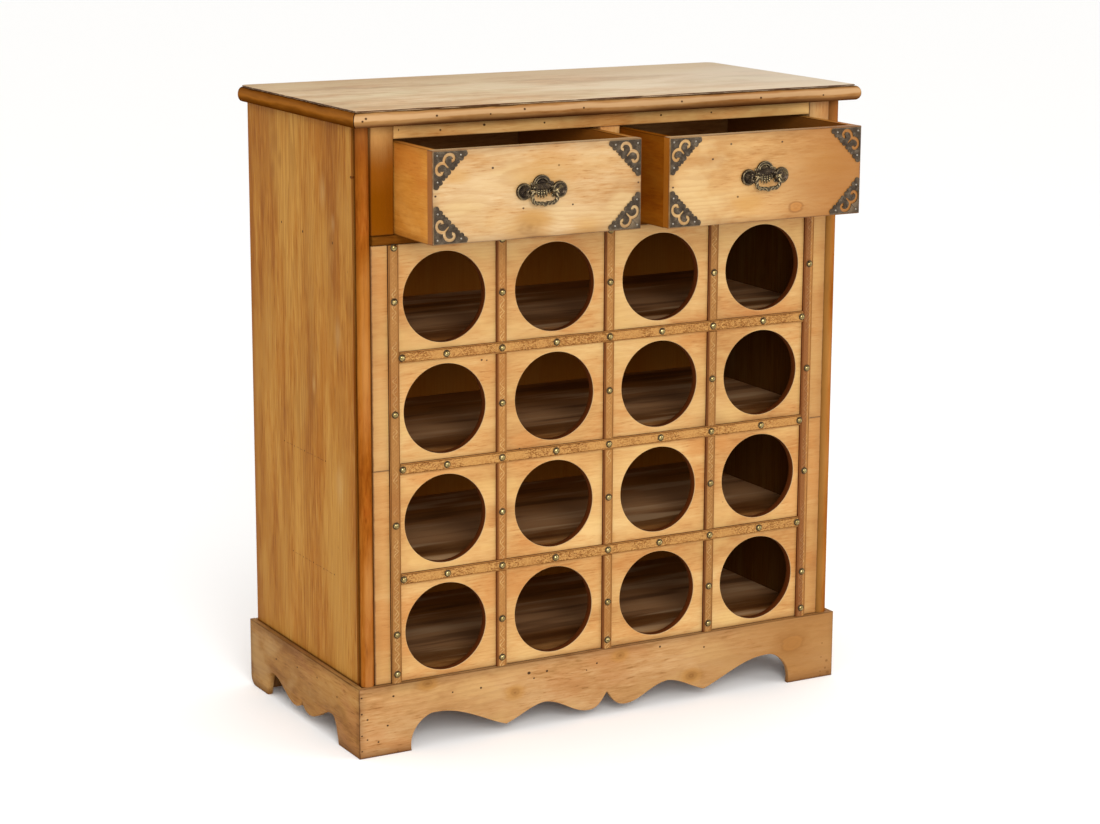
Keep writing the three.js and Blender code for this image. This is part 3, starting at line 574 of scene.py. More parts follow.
def nailRows(front):
    marks = []
    for z, start, end in sideNails["rows"]:
        steps = round((end - start) / sideNails["gap"])
        for i in range(steps + 1):
            kind = "scratch" if i % sideNails["dotEvery"] else "dot"
            marks.append((kind, z - sideNails["stagger"] * (i % 2),
                          front + start + (end - start) * i / steps, sideNails[kind]))
    return marks


def insideShade(node, letter, direction, paint=caveShade["near"]):
    # Painted shade on all of a board but the skin of its outer face, for the dark inside of the cabinet
    low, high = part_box(node)
    face = getattr(low if direction > 0 else high, letter)
    start = face + direction * caveShade["skin"] * mm
    return (letter, start, direction, paint, caveShade["soft"], caveShade["share"])


def behindFront(marks):
    return [(kind, z, frontPlane / mm + y, size) for kind, z, y, size in marks]


def dressCarcass():
    low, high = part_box("side_panel_left")
    edges = [("z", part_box("apron_front")[1].z + 3 * mm, -1, (84, 40, 8), 3.0, 0.8),
             ("y", high.y - 14 * mm, 1, (160, 90, 24), 10.0, 0.5),
             ("y", low.y + 2.5 * mm, -1, (120, 58, 10), 2.5, 0.6)]
    dress("side_panel_left", "side", "zyx", 1.0, marks=behindFront(sideMarks) + nailRows(frontPlane / mm),
          stains=[insideShade("side_panel_left", "x", 1)] + edges)
    dress("side_panel_right", "side", "zyx", 1.0, marks=behindFront(rightMarks),
          stains=[insideShade("side_panel_right", "x", -1, caveShade["far"])] + edges)
    dress("back_panel", "side", "zxy", 0.5, marks=backMarks, stains=[insideShade("back_panel", "y", -1)])
    dress("plinth_back_rail", "plinth", "xzy", 0.8, marks=[("knot", 120, 50, 6)])
    # painted shade of the open left drawer: the stile darkens downwards from its pale top and towards the
    # drawer
    low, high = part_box("front_stile_left")
    dress("front_stile_left", "front", "zxy",
          change={"gloss": 0.0, "patchShare": 1.5, "pale": (244, 186, 112), "cream": (240, 184, 108)},
          stains=[("z", high.z - 2 * mm, -1, (158, 86, 6), 56.0, 0.95),
                  ("z", high.z - 50 * mm, -1, (138, 74, 0), 40.0, 0.7),
                  ("x", low.x + 3 * mm, 1, (128, 64, 6), 40.0, 0.5)])
    dress("front_stile_right", "front", "zxy")
    # painted light: the top rail is painted brighter than the other front boards, lifting the shade under
    # the top's nose
    dress("top_rail", "front", "xzy", marks=railMarks, change={"depth": 0.72, "gloss": 0.02})
    dress("drawer_divider", "front", "zxy", change={"depth": 0.75})
    # painted shade: the rail under the drawers takes the dark rail look
    dress("drawer_rail", "rail", "xzy", 0.9)
    for side in ("left", "middle", "right"):
        dress("drawer_guide_" + side, "inside", "yzx")
    for node in ["drawer_deck", "drawer_kicker"] + [f"bottle_shelf_{row}" for row in range(1, 5)]:
        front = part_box(node)[0].y          # the painted light and shadow lie as the light comes in through the holes
        dress(node, "inside", "xyz", 0.5, change={"ringShare": 0.35, "wispShare": 0.8}, bands=True,
              stains=[("y", front + y * mm, 1, *rest) for y, *rest in shelfLightAndShadow])
    for corner in ("front_left", "front_right", "rear_left", "rear_right"):
        dress("foot_block_" + corner, "inside", "zxy", 1.0)


def dressDrawers():
    strip, end, upper = 0.5 * mm, drawerTones["endStrip"], drawerTones["topHighlight"]
    for side in ("left", "right"):
        lining = drawerTones["lining"][side]
        low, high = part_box(f"drawer_{side}_front")
        # the top face of each front is painted paler: a painted highlight
        stains = [("y", high.y - 0.6 * mm, 1, lining, 0.8, 1.0), ("x", low.x + strip, -1, end, 0.4, 0.95),
                  ("x", high.x - strip, 1, end, 0.4, 0.95), ("z", high.z - strip, 1, upper, 0.4, 0.5)]
        if side == "right":
            stains.append(("x", low.x + 120 * mm, 1, drawerTones["far"], 140.0, 0.8))
        dress(f"drawer_{side}_front", "drawer", "xzy", 0.5, (0, 90), marks=drawerMarks[side],
              change=drawerTones[side], stains=stains)
        for hand, outward in (("left", -1), ("right", 1)):
            node = f"drawer_{side}_{hand}_side"
            low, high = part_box(node)
            inner = high.x - 0.6 * mm if outward < 0 else low.x + 0.6 * mm
            isShaded = (side, hand) == ("right", "left")
            dress(node, "drawerSide", "yzx", 0.2, (13, 0), change=drawerTones["shaded"] if isShaded else {},
                  stains=[("x", inner, -outward, lining, 0.8, 1.0)])
        dress(f"drawer_{side}_back", "inside", "xzy", 0.5)
        dress(f"drawer_{side}_bottom", "inside", "yxz", 0.4)


dressCarcass()
dressDrawers()
print("boards dressed")


# Top board: one panel, with a quirked half-round nose mitred round its front and ends

topShape = {
    "nose": 6.0, "noseHeight": 18.0, "noseSteps": 14, "foot": 3.0, "frontRadius": 2.5, "rearRadius": 10.0,
    "step": 4.0, "cornerSteps": 6, "wear": 0.25, "arrisWear": 0.5, "wearSize": 11.0, "wearRise": 0.4,
    "mitreDepth": 0.9, "mitreHalf": 0.3, "endReach": 100.0,
    # insets past the nose, and heights over it, from the quirk to the top face
    "upper": [(0.8, 0.2), (0.9, 0.6), (0.25, 0.85), (0.1, 1.1), (0.1, 1.5), (0.35, 1.85), (0.8, 2.0)],
}
# The round's pale band is a painted highlight with its wear, the dark band below it painted shade; the end
# ramp paints shade low and a highlight above the middle
nosePaints = {
    "wearAndSheen": (242, 194, 140), "lowShade": (104, 56, 22), "nail": (60, 30, 12), "mitre": (30, 14, 8),
    "quirk": (58, 28, 12),
    "end": [(0.05, (104, 52, 2)), (0.35, (140, 78, 12)), (0.6, (190, 112, 26)), (0.95, (140, 76, 14))],
}
noseFades = {          # in the nose's height, the mitre's in mm, the nail's in its own size
    "wearAndSheenIn": (0.44, 0.58), "wearAndSheenOut": (0.76, 0.92, 0.75, 0.0), "lowShade": (0.08, 0.48, 0.9, 0.0),
    "nail": (0.4, 1.0, 0.95, 0.0), "mitre": (0.5, 1.2, 0.95, 0.0), "quirk": (0.93, 1.0, 0.0, 0.8),
}
noseShares = {"end": 0.92, "ragged": 0.3, "endRagged": 0.4, "nailStretch": 1.2}
panelPaints = {"faded": (216, 202, 180), "rear": (184, 152, 108), "line": (72, 36, 12)}
panelFades = {          # in mm, and how far the grain moves each
    "faded": (-200.0, 400.0, 0.0, 0.55), "rear": (-150.0, 0.0, 0.0, 0.5), "line": (6.5, 7.3, 0.95, 0.0),
    "fadedDrift": 400.0, "rearDrift": 200.0, "lineStreak": 2.0, "lineWisp": 1.6,
}
noseMarks = [(-344, 791.4, 1.9), (-348.5, 788.4, 1.7), (-251.6, 790.5, 1.8), (-180, 789, 1.4),
             (-133.5, 792.5, 1.8), (-52, 790, 1.6), (88, 791, 1.7), (205, 790, 1.8), (300, 789, 1.5)]


def topLevels(low):
    nose, noseHeight = topShape["nose"], topShape["noseHeight"]
    levels = [(nose + topShape["foot"], 0.0)]
    for i in range(topShape["noseSteps"] + 1):
        angle = math.pi * (i / topShape["noseSteps"] - 0.5)
        levels.append((nose * (1 - math.cos(angle)), noseHeight / 2 * (1 + math.sin(angle))))
    levels += [(nose + inset, noseHeight + z) for inset, z in topShape["upper"]]
    return [(inset * mm, low + z * mm) for inset, z in levels]


def mitredArc(arc, x):
    # The middle of a front corner's arc as a fine notch that runs down the nose
    toward = Vector((-math.copysign(1, x), 1)).normalized()
    across = Vector((toward.y, -toward.x)) * topShape["mitreHalf"] * mm
    half = len(arc) // 2
    middle = Vector(arc[half])
    if across.dot(Vector(arc[half - 1]) - middle) < 0:
        across = -across
    notch = middle + toward * topShape["mitreDepth"] * mm
    return arc[:half] + [tuple(middle + across), tuple(notch), tuple(middle - across)] + arc[half + 1:]


def topRing(inset, low, high, counts):
    # counts keeps how many steps each edge has, so that all rings match the first
    half, front = high.x - inset, low.y + inset
    arcs = []
    for x, y, key, start in ((half, front, "frontRadius", 270), (half, high.y, "rearRadius", 0),
                             (-half, high.y, "rearRadius", 90), (-half, front, "frontRadius", 180)):
        radius = topShape[key] * mm
        centre = (x - math.copysign(radius, x), y + radius if key == "frontRadius" else y - radius)
        arc = arcPoints(centre, radius, start, start + 90, topShape["cornerSteps"])
        arcs.append(mitredArc(arc, x) if key == "frontRadius" else arc)
    points = []
    for index, arc in enumerate(arcs):
        points += arc
        start, end = Vector(arc[-1]), Vector(arcs[(index + 1) % 4][0])
        if len(counts) <= index:
            counts.append(max(2, round((end - start).length / (topShape["step"] * mm))))
        points += [tuple(start.lerp(end, i / counts[index])) for i in range(1, counts[index])]
    return points


def buildTop():
    low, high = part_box("top_board")
    noseTop = low.z + topShape["noseHeight"] * mm
    counts, rings = [], []
    for inset, z in topLevels(low.z):
        ring = []
        reach = topShape["arrisWear" if z > noseTop else "wear"] * mm
        for x, y in topRing(inset, low, high, counts):
            place = (x, y, z * topShape["wearRise"])
            shift = wobble(place, topShape["wearSize"] * mm, reach) / math.hypot(x, y)
            if y < high.y - 0.1 * mm:          # the back edge stays where it is
                x, y = x + shift * x, y + shift * min(0.0, y)
            ring.append((x, y, z))
        rings.append(ring)
    seam = topShape["noseSteps"] + 3
    for name, part in (("top_nose", rings[:seam]), ("top_panel", rings[seam - 1:])):
        placePiece(name, skinMesh(name, [part]), "cabinet", topMaterial(name, low, high),
                   ["top_board"], 40)


def topMaterial(name, low, high):
    # Grain runs with each strip of the nose
    isNose = name == "top_nose"
    look = {**pineBase, **pineLooks["nose" if isNose else "top"]}
    sheet = Sheet(name + "_wax")
    axes = sheet.axes()
    x, y, z = axes["x"], axes["y"], axes["z"]
    toEnd = sheet.maths("MINIMUM", high.x - sheet.maths("ABSOLUTE", x), topShape["endReach"] * mm)
    toFront = y - low.y
    if isNose:
        isEnd = sheet.maths("LESS_THAN", toEnd, toFront)
        places = (x * (1 - isEnd) + y * isEnd, z, y * (1 - isEnd) + x * isEnd)
        made = pineNodes(sheet, name, look, places, (low.z + high.z) / 2)
        coats = noseCoats(sheet, axes, made, low, isEnd, toEnd - toFront)
    else:
        made = pineNodes(sheet, name, look, (x, y, z), (low.y + high.y) / 2)
        coats = panelCoats(sheet, axes, made, high, sheet.maths("MINIMUM", toEnd, toFront))
    return waxed(sheet, made, look, coats, "top")


def noseCoats(sheet, axes, made, low, isEnd, offMitre):
    # The end strips are redder; painted shade lies low on the round and a painted highlight above its
    # middle, where it is worn; grime fills the quirk and the mitres
    ragged = made["streak"] - 0.5
    level = (axes["z"] - low.z) / (topShape["noseHeight"] * mm) + ragged * noseShares["ragged"]
    wearAndSheen = sheet.ease(level, *noseFades["wearAndSheenIn"]) * sheet.ease(level, *noseFades["wearAndSheenOut"])
    coats = [(wearAndSheen, nosePaints["wearAndSheen"]), (sheet.ease(level, *noseFades["lowShade"]), nosePaints["lowShade"])]
    for x, z, size in noseMarks:
        offX = (axes["x"] - x * mm) / (size * noseShares["nailStretch"] * mm)
        away = sheet.length(offX, (axes["z"] - z * mm) / (size * mm))
        coats.append((sheet.ease(away, *noseFades["nail"]), nosePaints["nail"]))
    endLevel = level + ragged * noseShares["endRagged"]
    endToneAndShade = sheet.ramp(endLevel, nosePaints["end"], pineLooks["nose"]["depth"])
    mitre = sheet.fade(sheet.maths("ABSOLUTE", offMitre), *noseFades["mitre"])
    return coats + [(isEnd * noseShares["end"], endToneAndShade), (mitre, nosePaints["mitre"]),
                    (sheet.ease(level, *noseFades["quirk"]), nosePaints["quirk"])]


def panelCoats(sheet, axes, made, high, toEdge):
    # The flat is paler to the right, browner at the back, with a dark line along its edge
    def moved(place, part, reach):
        return place + (made[part] - 0.5) * (panelFades[reach] * mm)

    faded = moved(axes["x"], "patch", "fadedDrift")
    rear = moved(axes["y"] - high.y, "patch", "rearDrift")
    line = moved(moved(toEdge, "streak", "lineStreak"), "wisp", "lineWisp")
    return [(sheet.fade(faded, *panelFades["faded"]), panelPaints["faded"]),
            (sheet.fade(rear, *panelFades["rear"]), panelPaints["rear"]),
            (sheet.fade(line, *panelFades["line"]), panelPaints["line"])]


buildTop()
print("top made")


# Corner beads, with a dark groove at each side of the round

beadShape = {"radius": 8.5, "grooveFloor": 3.5, "steps": 44, "ringStep": 9.0, "wear": 0.2,
             "wearSize": 1.3, "wearRise": 30.0}
beadPaints = {"wearAndSheen": (222, 158, 90), "olive": (172, 124, 62), "shaded": (134, 72, 40),
              "groove": (66, 28, 6)}
beadFades = {          # in mm from the front, the middle or the top of the bead
    "wearAndSheen": (0.3, 3.2, 0.4, 0.0), "olive": (-5.0, 3.0, 0.7, 0.0), "shaded": (-60.0, 0.0, 0.0, 0.5),
    "groove": (6.0, 11.0), "grooveSide": (2.0, 5.0, 0.9, 0.05), "ragged": 3.0, "patchy": (0.4, 0.65),
}


def buildBeads():
    radius, floor = beadShape["radius"] * mm, beadShape["grooveFloor"] * mm
    start = math.acos(floor / radius)
    for side, sign in (("left", -1), ("right", 1)):
        low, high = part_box("corner_bead_" + side)
        centre = Vector(((low.x + high.x) / 2, low.y + radius))
        count = round((high.z - low.z) / (beadShape["ringStep"] * mm))
        rings = []
        for level in range(count + 1):
            z = low.z + (high.z - low.z) * level / count
            ring = []
            for i in range(beadShape["steps"] + 1):
                angle = start - (start + math.pi) * i / beadShape["steps"]
                spot = (math.cos(angle), math.sin(angle), z * beadShape["wearRise"])
                worn = radius + wobble(spot, beadShape["wearSize"], beadShape["wear"] * mm)
                ring.append((centre.x + sign * worn * math.cos(angle),
                             centre.y + worn * math.sin(angle), z))
            ring.append((centre.x - sign * radius, centre.y + radius, z))
            ring.append((centre.x + sign * floor, centre.y + radius, z))
            rings.append(ring)
        name = "bead_round_" + side
        placePiece(name, skinMesh(name, [rings]), "cabinet", beadMaterial(side, low, high),
                   ["corner_bead_" + side])


def beadMaterial(side, low, high):
    look = {**pineBase, **pineLooks["bead"]}
    sheet = Sheet("bead_stain_" + side)
    axes = sheet.axes()
    middle = (low.x + high.x) / 2
    made = pineNodes(sheet, "bead" + side, look, (axes["z"], axes["x"], axes["y"]), middle)
    depth = (axes["y"] - low.y) + (made["streak"] - 0.5) * (beadFades["ragged"] * mm)
    offMiddle = axes["x"] - middle
    inward = offMiddle * (1 if side == "left" else -1)
    # painted highlight down the front of the round, in patches where it is worn
    wearAndSheen = sheet.fade(depth, *beadFades["wearAndSheen"]) * sheet.ease(made["patch"], *beadFades["patchy"])
    groove = sheet.fade(depth, *beadFades["groove"]) * sheet.fade(inward, *beadFades["grooveSide"])
    coats = [(wearAndSheen, beadPaints["wearAndSheen"])]
    if side == "right":
        coats.append((sheet.fade(offMiddle, *beadFades["olive"]), beadPaints["olive"]))
    coats += [(sheet.fade(axes["z"] - high.z, *beadFades["shaded"]), beadPaints["shaded"]),
              (groove, beadPaints["groove"])]
    return waxed(sheet, made, look, coats, "bead")


buildBeads()
print("beads made")


# Bottle front: two boards, pierced by round holes with softened edges, a painted highlight along each front
# edge and darkened walls

holeShape = {"diameter": 112.0, "steps": 96, "soft": 0.9}
boardDepth = {"lower": 0.59, "upper": 0.55}
boardMarks = {
    "lower": [("dot", -230, 222, 1.3), ("shade", -150, 290, 14), ("shade", 75, 150, 12),
              ("dot", 160, 305, 1.3), ("knot", 2, 236, 4), ("glow", 222, 222, 12)],
    "upper": [("dot", -179.2, 485.1, 1.5), ("dot", -172, 484, 1.1), ("dot", -126.3, 367.2, 1.5),
              ("dash", -30, 502, 1.4), ("shade", -230, 500, 12), ("shade", 155, 370, 14),
              ("glow", -76, 500, 12), ("dot", 262, 494, 1.3), ("glow", 76, 366, 10)],
}


def measureHoles():
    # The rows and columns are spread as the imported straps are
    def middle(node, axis):
        low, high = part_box(node)
        return (getattr(low, axis) + getattr(high, axis)) / 2

    pitch = abs(middle("strap_vertical_2", "x"))
    lowest, highest = middle("strap_horizontal_1", "z"), middle("strap_horizontal_3", "z")
    rowPitch = (highest - lowest) / 2
    return [(i - 1.5) * pitch for i in range(4)], [lowest + (i - 0.5) * rowPitch for i in range(4)]


holeColumns, holeRows = measureHoles()


def buildPiercedBoards():
    for name, rows in (("lower", holeRows[:2]), ("upper", holeRows[2:])):
        node = "bottle_front_" + name
        low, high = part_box(node)
        outlines = [[(low.x, low.z), (high.x, low.z), (high.x, high.z), (low.x, high.z)]]
        for z in rows:
            for x in holeColumns:
                radius = holeShape["diameter"] / 2 * mm
                outlines.append(arcPoints((x, z), radius, 0, 360, holeShape["steps"])[:-1])
        mesh = cutPlate("pierced_" + name, outlines, low.y, high.y, holeShape["soft"])
        material = pine(node + "_pine", "front", "xzy", (low, high),
                        marks=boardMarks[name], change={"depth": boardDepth[name]},
                        # a thin pale line on the softened front edges is a painted highlight; the walls
                        # behind it are darkened
                        stains=[("y", low.y + 0.1 * mm, 1, (246, 208, 152), 0.25, 0.8),
                                ("y", low.y + 1.0 * mm, 1, (112, 54, 18), 0.6, 1.0),
                                ("x", low.x + 26 * mm, -1, (198, 138, 72), 12.0, 0.45),
                                ("x", high.x - 34 * mm, 1, (190, 126, 58), 30.0, 0.45)])
        placePiece("pierced_" + name, mesh, "cabinet", material, [node])


buildPiercedBoards()
print("pierced boards made")


# Straps with an embossed trailing stem between two fine beads, and their domed studs

strapShape = {
    "half": 7.0, "step": 0.75, "period": 13.5, "stemSwing": 2.6, "stemWidth": 0.8, "leafWidth": 0.8,
    "leafOff": 1.2, "leafSwing": 2.4, "stray": 2.2, "band": 5.35, "base": 3.7, "crown": 0.2,
    "grit": 0.3, "relief": 1.0, "strokeBase": 0.4, "strokeDip": 1.2, "strokeWidth": 0.11, "bead": 0.9,
    "quirk": 2.6, "edge": 2.9, "beadStart": 5.72, "beadPlace": 6.35, "beadHalf": 0.62, "back": 0.3,
    "lapHalf": 7.3, "lapSink": 0.1, "edgeSink": 0.5, "most": 4.95, "luck": 40.0,
    # how fine the noises are, and how much of the relief is left where it is worn
    "gritFine": (0.7, 0.4, 1.3), "swirlFine": (0.34, 0.3, 0.7), "strayFine": 0.04, "wornFine": 0.045,
    "wornMiddle": 0.8, "wornSpread": 1.1, "wornLeast": 0.35,
    "across": [0.0, 0.6, 1.2, 1.8, 2.4, 3.0, 3.6, 4.2, 4.8, 5.3, 5.5, 5.7, 6.0, 6.35, 6.7, 6.95, 7.0],
}
strapPaints = {
    "depth": 0.54,
    "tone": {"strap_v1": 0.86, "strap_v3": 0.94, "strap_v4": 0.85},          # some took more stain
    # Colour follows height: dark on the sides and in the hollows, pale on the raised parts. The level
    # straps' ramp is the lighter one: painted light from above
    "upright": [(0.4, (66, 26, 8)), (0.58, (120, 64, 20)), (0.7, (180, 120, 56)),
                (0.84, (200, 140, 72)), (0.97, (240, 190, 118))],
    "level": [(0.4, (96, 50, 16)), (0.58, (136, 80, 30)), (0.68, (176, 114, 52)),
              (0.84, (212, 154, 82)), (0.99, (228, 174, 102))],
    "blush": (172, 100, 36), "shaded": (122, 54, 10), "shadedFade": (-5.4, -3.4, 0.62, 0.0),
    "blushFade": {"upright": (0.5, 0.7, 0.0, 0.35), "level": (0.5, 0.7, 0.0, 0.15)},
    "gritAlong": 40.0, "gritAcross": 500.0, "patch": 12.0, "gritLift": 0.9, "fullLift": 5.0,
    "gloss": 0.15, "roughness": 0.52, "gritRough": 0.3, "gritDepth": 0.15,
}


def strapHeight(s, t, upright, luck):
    # Height of the strap's face in millimetres, at s along it and t across it
    shape = strapShape
    off = abs(t)
    if off > shape["beadStart"]:
        swell = max(0.0, 1 - ((off - shape["beadPlace"]) / shape["beadHalf"]) ** 2)
        return shape["edge"] + shape["bead"] * math.sqrt(swell)
    if off > shape["band"]:
        return shape["quirk"]

    def weave(fine):
        return noise.noise(Vector((s * fine[0] + t * fine[1], t * fine[2], luck)))

    grit = shape["grit"] * weave(shape["gritFine"])
    ground = shape["base"] + shape["crown"] * (1 - (t / shape["band"]) ** 2) + grit
    wear = noise.noise(Vector((s * shape["wornFine"], luck, 0.5)))
    worn = min(1.0, max(shape["wornLeast"], shape["wornMiddle"] + shape["wornSpread"] * wear))
    if not upright:          # short wavy tool strokes
        swirl = weave(shape["swirlFine"]) / shape["strokeWidth"]
        stroke = shape["strokeDip"] * worn * math.exp(-swirl ** 2)
        return ground + shape["relief"] * (shape["strokeBase"] - stroke)
    stray = shape["stray"] * noise.noise(Vector((s * shape["strayFine"], 0.3, luck)))
    phase = 2 * math.pi * s / shape["period"] + stray
    stem = math.exp(-((t - shape["stemSwing"] * math.sin(phase)) / shape["stemWidth"]) ** 2)
    hand = math.copysign(1, math.sin(phase))
    off = t + hand * (shape["leafOff"] + shape["leafSwing"] * math.cos(phase))
    leaf = math.exp(-(off / shape["leafWidth"]) ** 2) * abs(math.sin(phase)) ** 3
    return ground + shape["relief"] * worn * max(stem, leaf)


def buildStrap(name, node, start, end, place, laps):
    # place turns (along, across, height) in millimetres into a point of the row frame
    shape = strapShape
    half = shape["half"]
    across = [-t for t in shape["across"][:0:-1]] + shape["across"]
    count = round((end - start) / shape["step"])
    luck = random.Random(name).uniform(0, shape["luck"])
    rings = []
    for i in range(count + 1):
        s = start + (end - start) * i / count
        lapped = any(abs(s - lap) < shape["lapHalf"] for lap in laps)
        ring = [place(s, half, shape["back"]), place(s, -half, shape["back"])]
        for t in across:
            height = min(strapHeight(s, t, "_v" in name, luck), shape["most"])
            if lapped:
                height = min(height, shape["quirk"] - shape["lapSink"])
            if abs(t) == half:
                height = min(height, shape["edge"] - shape["edgeSink"])
            ring.append(place(s, t, height))
        rings.append(ring)
    placePiece(name, skinMesh(name, [rings]), "cabinet", strapMaterial(name), [node], 50)


def strapMaterial(name):
    paints, way = strapPaints, "upright" if "_v" in name else "level"
    sheet = Sheet(name + "_finish")
    axes = sheet.axes()
    height = frontPlane - axes["y"]
    along, across = (axes["z"], axes["x"]) if way == "upright" else (axes["x"], axes["z"])
    grit = sheet.join(along * paints["gritAlong"], across * paints["gritAcross"],
                      random.Random(name).uniform(0, 9))
    grit = sheet.cloud(grit, detail=3)
    patch = sheet.cloud(sheet.join(along * paints["patch"], across * paints["patch"], 0.0))
    depth = paints["depth"] * paints["tone"].get(name, 1.0)
    lift = (height + (grit - 0.5) * (paints["gritLift"] * mm)) / (paints["fullLift"] * mm)
    coats = [(sheet.ease(patch, *paints["blushFade"][way]), paints["blush"])]
    if way == "upright":          # the side that faces away from the light is a deep red-brown
        halfPitch = (holeColumns[1] - holeColumns[0]) / 2
        middle = sheet.maths("WRAP", axes["x"], halfPitch, -halfPitch)
        coats.append((sheet.fade(middle, *paints["shadedFade"]), paints["shaded"]))
    colour = sheet.layer(sheet.ramp(lift, paints[way], depth), coats, depth)
    roughness = paints["roughness"] + (grit - 0.5) * paints["gritRough"]
    return sheet.finish({"Base Color": colour, "Roughness": roughness,
                         "Specular IOR Level": paints["gloss"]}, grit, paints["gritDepth"])


studShape = {"radius": 4.5, "rise": 3.0, "sink": 0.4, "face": 5.0, "sides": 24, "rings": 8,
             "brim": 0.7, "brimRise": 0.45, "rimFoot": 0.1, "crown": 0.25, "footShare": 0.97,
             "lean": 0.12, "leanShare": 0.2, "fromEnd": 2.5, "fromFoot": 11.7, "fromTop": 2.8}
brassPaints = {"tarnish": [(0.3, (84, 68, 36)), (0.5, (132, 114, 70)), (0.72, (196, 178, 130))],
               "footShade": (40, 24, 10), "footShadeFade": (0.5, 1.7, 1.0, 0.0), "footShadeShare": 0.92,
               "cloud": (420, 3, 0.6), "roughness": 0.16, "tarnishRough": 0.14, "footShadeRough": 0.35,
               "footShadeDull": 0.35, "relief": 0.12}


def studRings(x, z, luck):
    # Dome with a narrow brim, from its sunk foot out to its crown
    shape = studShape
    lean = (luck.uniform(-shape["lean"], shape["lean"]), luck.uniform(-shape["lean"], shape["lean"]))
    dome, brimRise = shape["radius"] - shape["brim"], shape["brimRise"]
    profile = [(shape["radius"] * shape["footShare"], -shape["sink"]), (shape["radius"], shape["rimFoot"]),
               (dome, brimRise)]
    for i in range(1, shape["rings"]):
        angle = math.pi / 2 * i / shape["rings"]
        profile.append((dome * math.cos(angle), brimRise + (shape["rise"] - brimRise) * math.sin(angle)))
    profile.append((shape["crown"], shape["rise"]))
    rings = []
    for radius, height in profile:
        ring = []
        for c, s in circle(shape["sides"]):
            a, b = radius * c, radius * s
            tilt = min(0.0, (a * lean[0] + b * lean[1]) * max(0.0, height) * shape["leanShare"])
            ring.append((x + a * mm, frontPlane - (shape["face"] + height + tilt) * mm, z + b * mm))
        rings.append(ring)
    return rings


def buildStuds(name, node, places, material):
    luck = random.Random(name)
    mesh = skinMesh(name, [studRings(x, z, luck) for x, z in places])
    placePiece(name, mesh, "cabinet", material, [node], 50)


def brassMaterial():
    paints, sheet = brassPaints, Sheet("antique_brass")
    place = sheet.place()
    tarnish = sheet.cloud(place, *paints["cloud"])
    height = (frontPlane - studShape["face"] * mm) - sheet.split(place)[1]
    # painted shade: a dark, dull ring round each stud's foot, where it meets the strap
    footShade = sheet.fade(height, *paints["footShadeFade"])
    colour = sheet.layer(sheet.ramp(tarnish, paints["tarnish"]), [(footShade * paints["footShadeShare"], paints["footShade"])])
    roughness = paints["roughness"] + tarnish * paints["tarnishRough"] + footShade * paints["footShadeRough"]
    return sheet.finish({"Base Color": colour, "Roughness": roughness,
                         "Metallic": 1.0 - footShade * paints["footShadeDull"]}, tarnish, paints["relief"])


def buildStraps():
    brass = brassMaterial()
    crossings = [(holeRows[i] + holeRows[i + 1]) / 2 for i in range(3)]
    for index in range(1, 6):
        node = f"strap_vertical_{index}"
        low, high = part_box(node)
        x = (low.x + high.x) / 2

        def upright(s, t, height, x=x):
            return (x + t * mm, frontPlane - height * mm, s * mm)

        laps = [z / mm for z in crossings] if 1 < index < 5 else []
        buildStrap(f"strap_v{index}", node, low.z / mm, high.z / mm, upright, laps)
        heights = holeRows + [low.z + studShape["fromFoot"] * mm, high.z - studShape["fromTop"] * mm]
        buildStuds(f"studs_v{index}", node, [(x, z) for z in heights], brass)
    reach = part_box("strap_vertical_5")[0].x / mm - 0.3
    inner = [(holeColumns[i] + holeColumns[i + 1]) / 2 for i in range(3)]
    ends = [sign * (reach - studShape["fromEnd"]) * mm for sign in (-1, 1)]
    for index, z in enumerate(crossings, 1):
        node = f"strap_horizontal_{index}"

        def level(s, t, height, z=z):
            return (s * mm, frontPlane - height * mm, z - t * mm)

        buildStrap(f"strap_h{index}", node, -reach, reach, level, [])
        buildStuds(f"studs_h{index}", node, [(x, z) for x in holeColumns + inner + ends], brass)


buildStraps()
print("straps made")


# Plinth: shaped aprons with mitred front corners

apronShape = {"steps": 20, "soft": 0.9, "rearRadius": 14.0, "heelSteps": 8, "gap": 0.15}
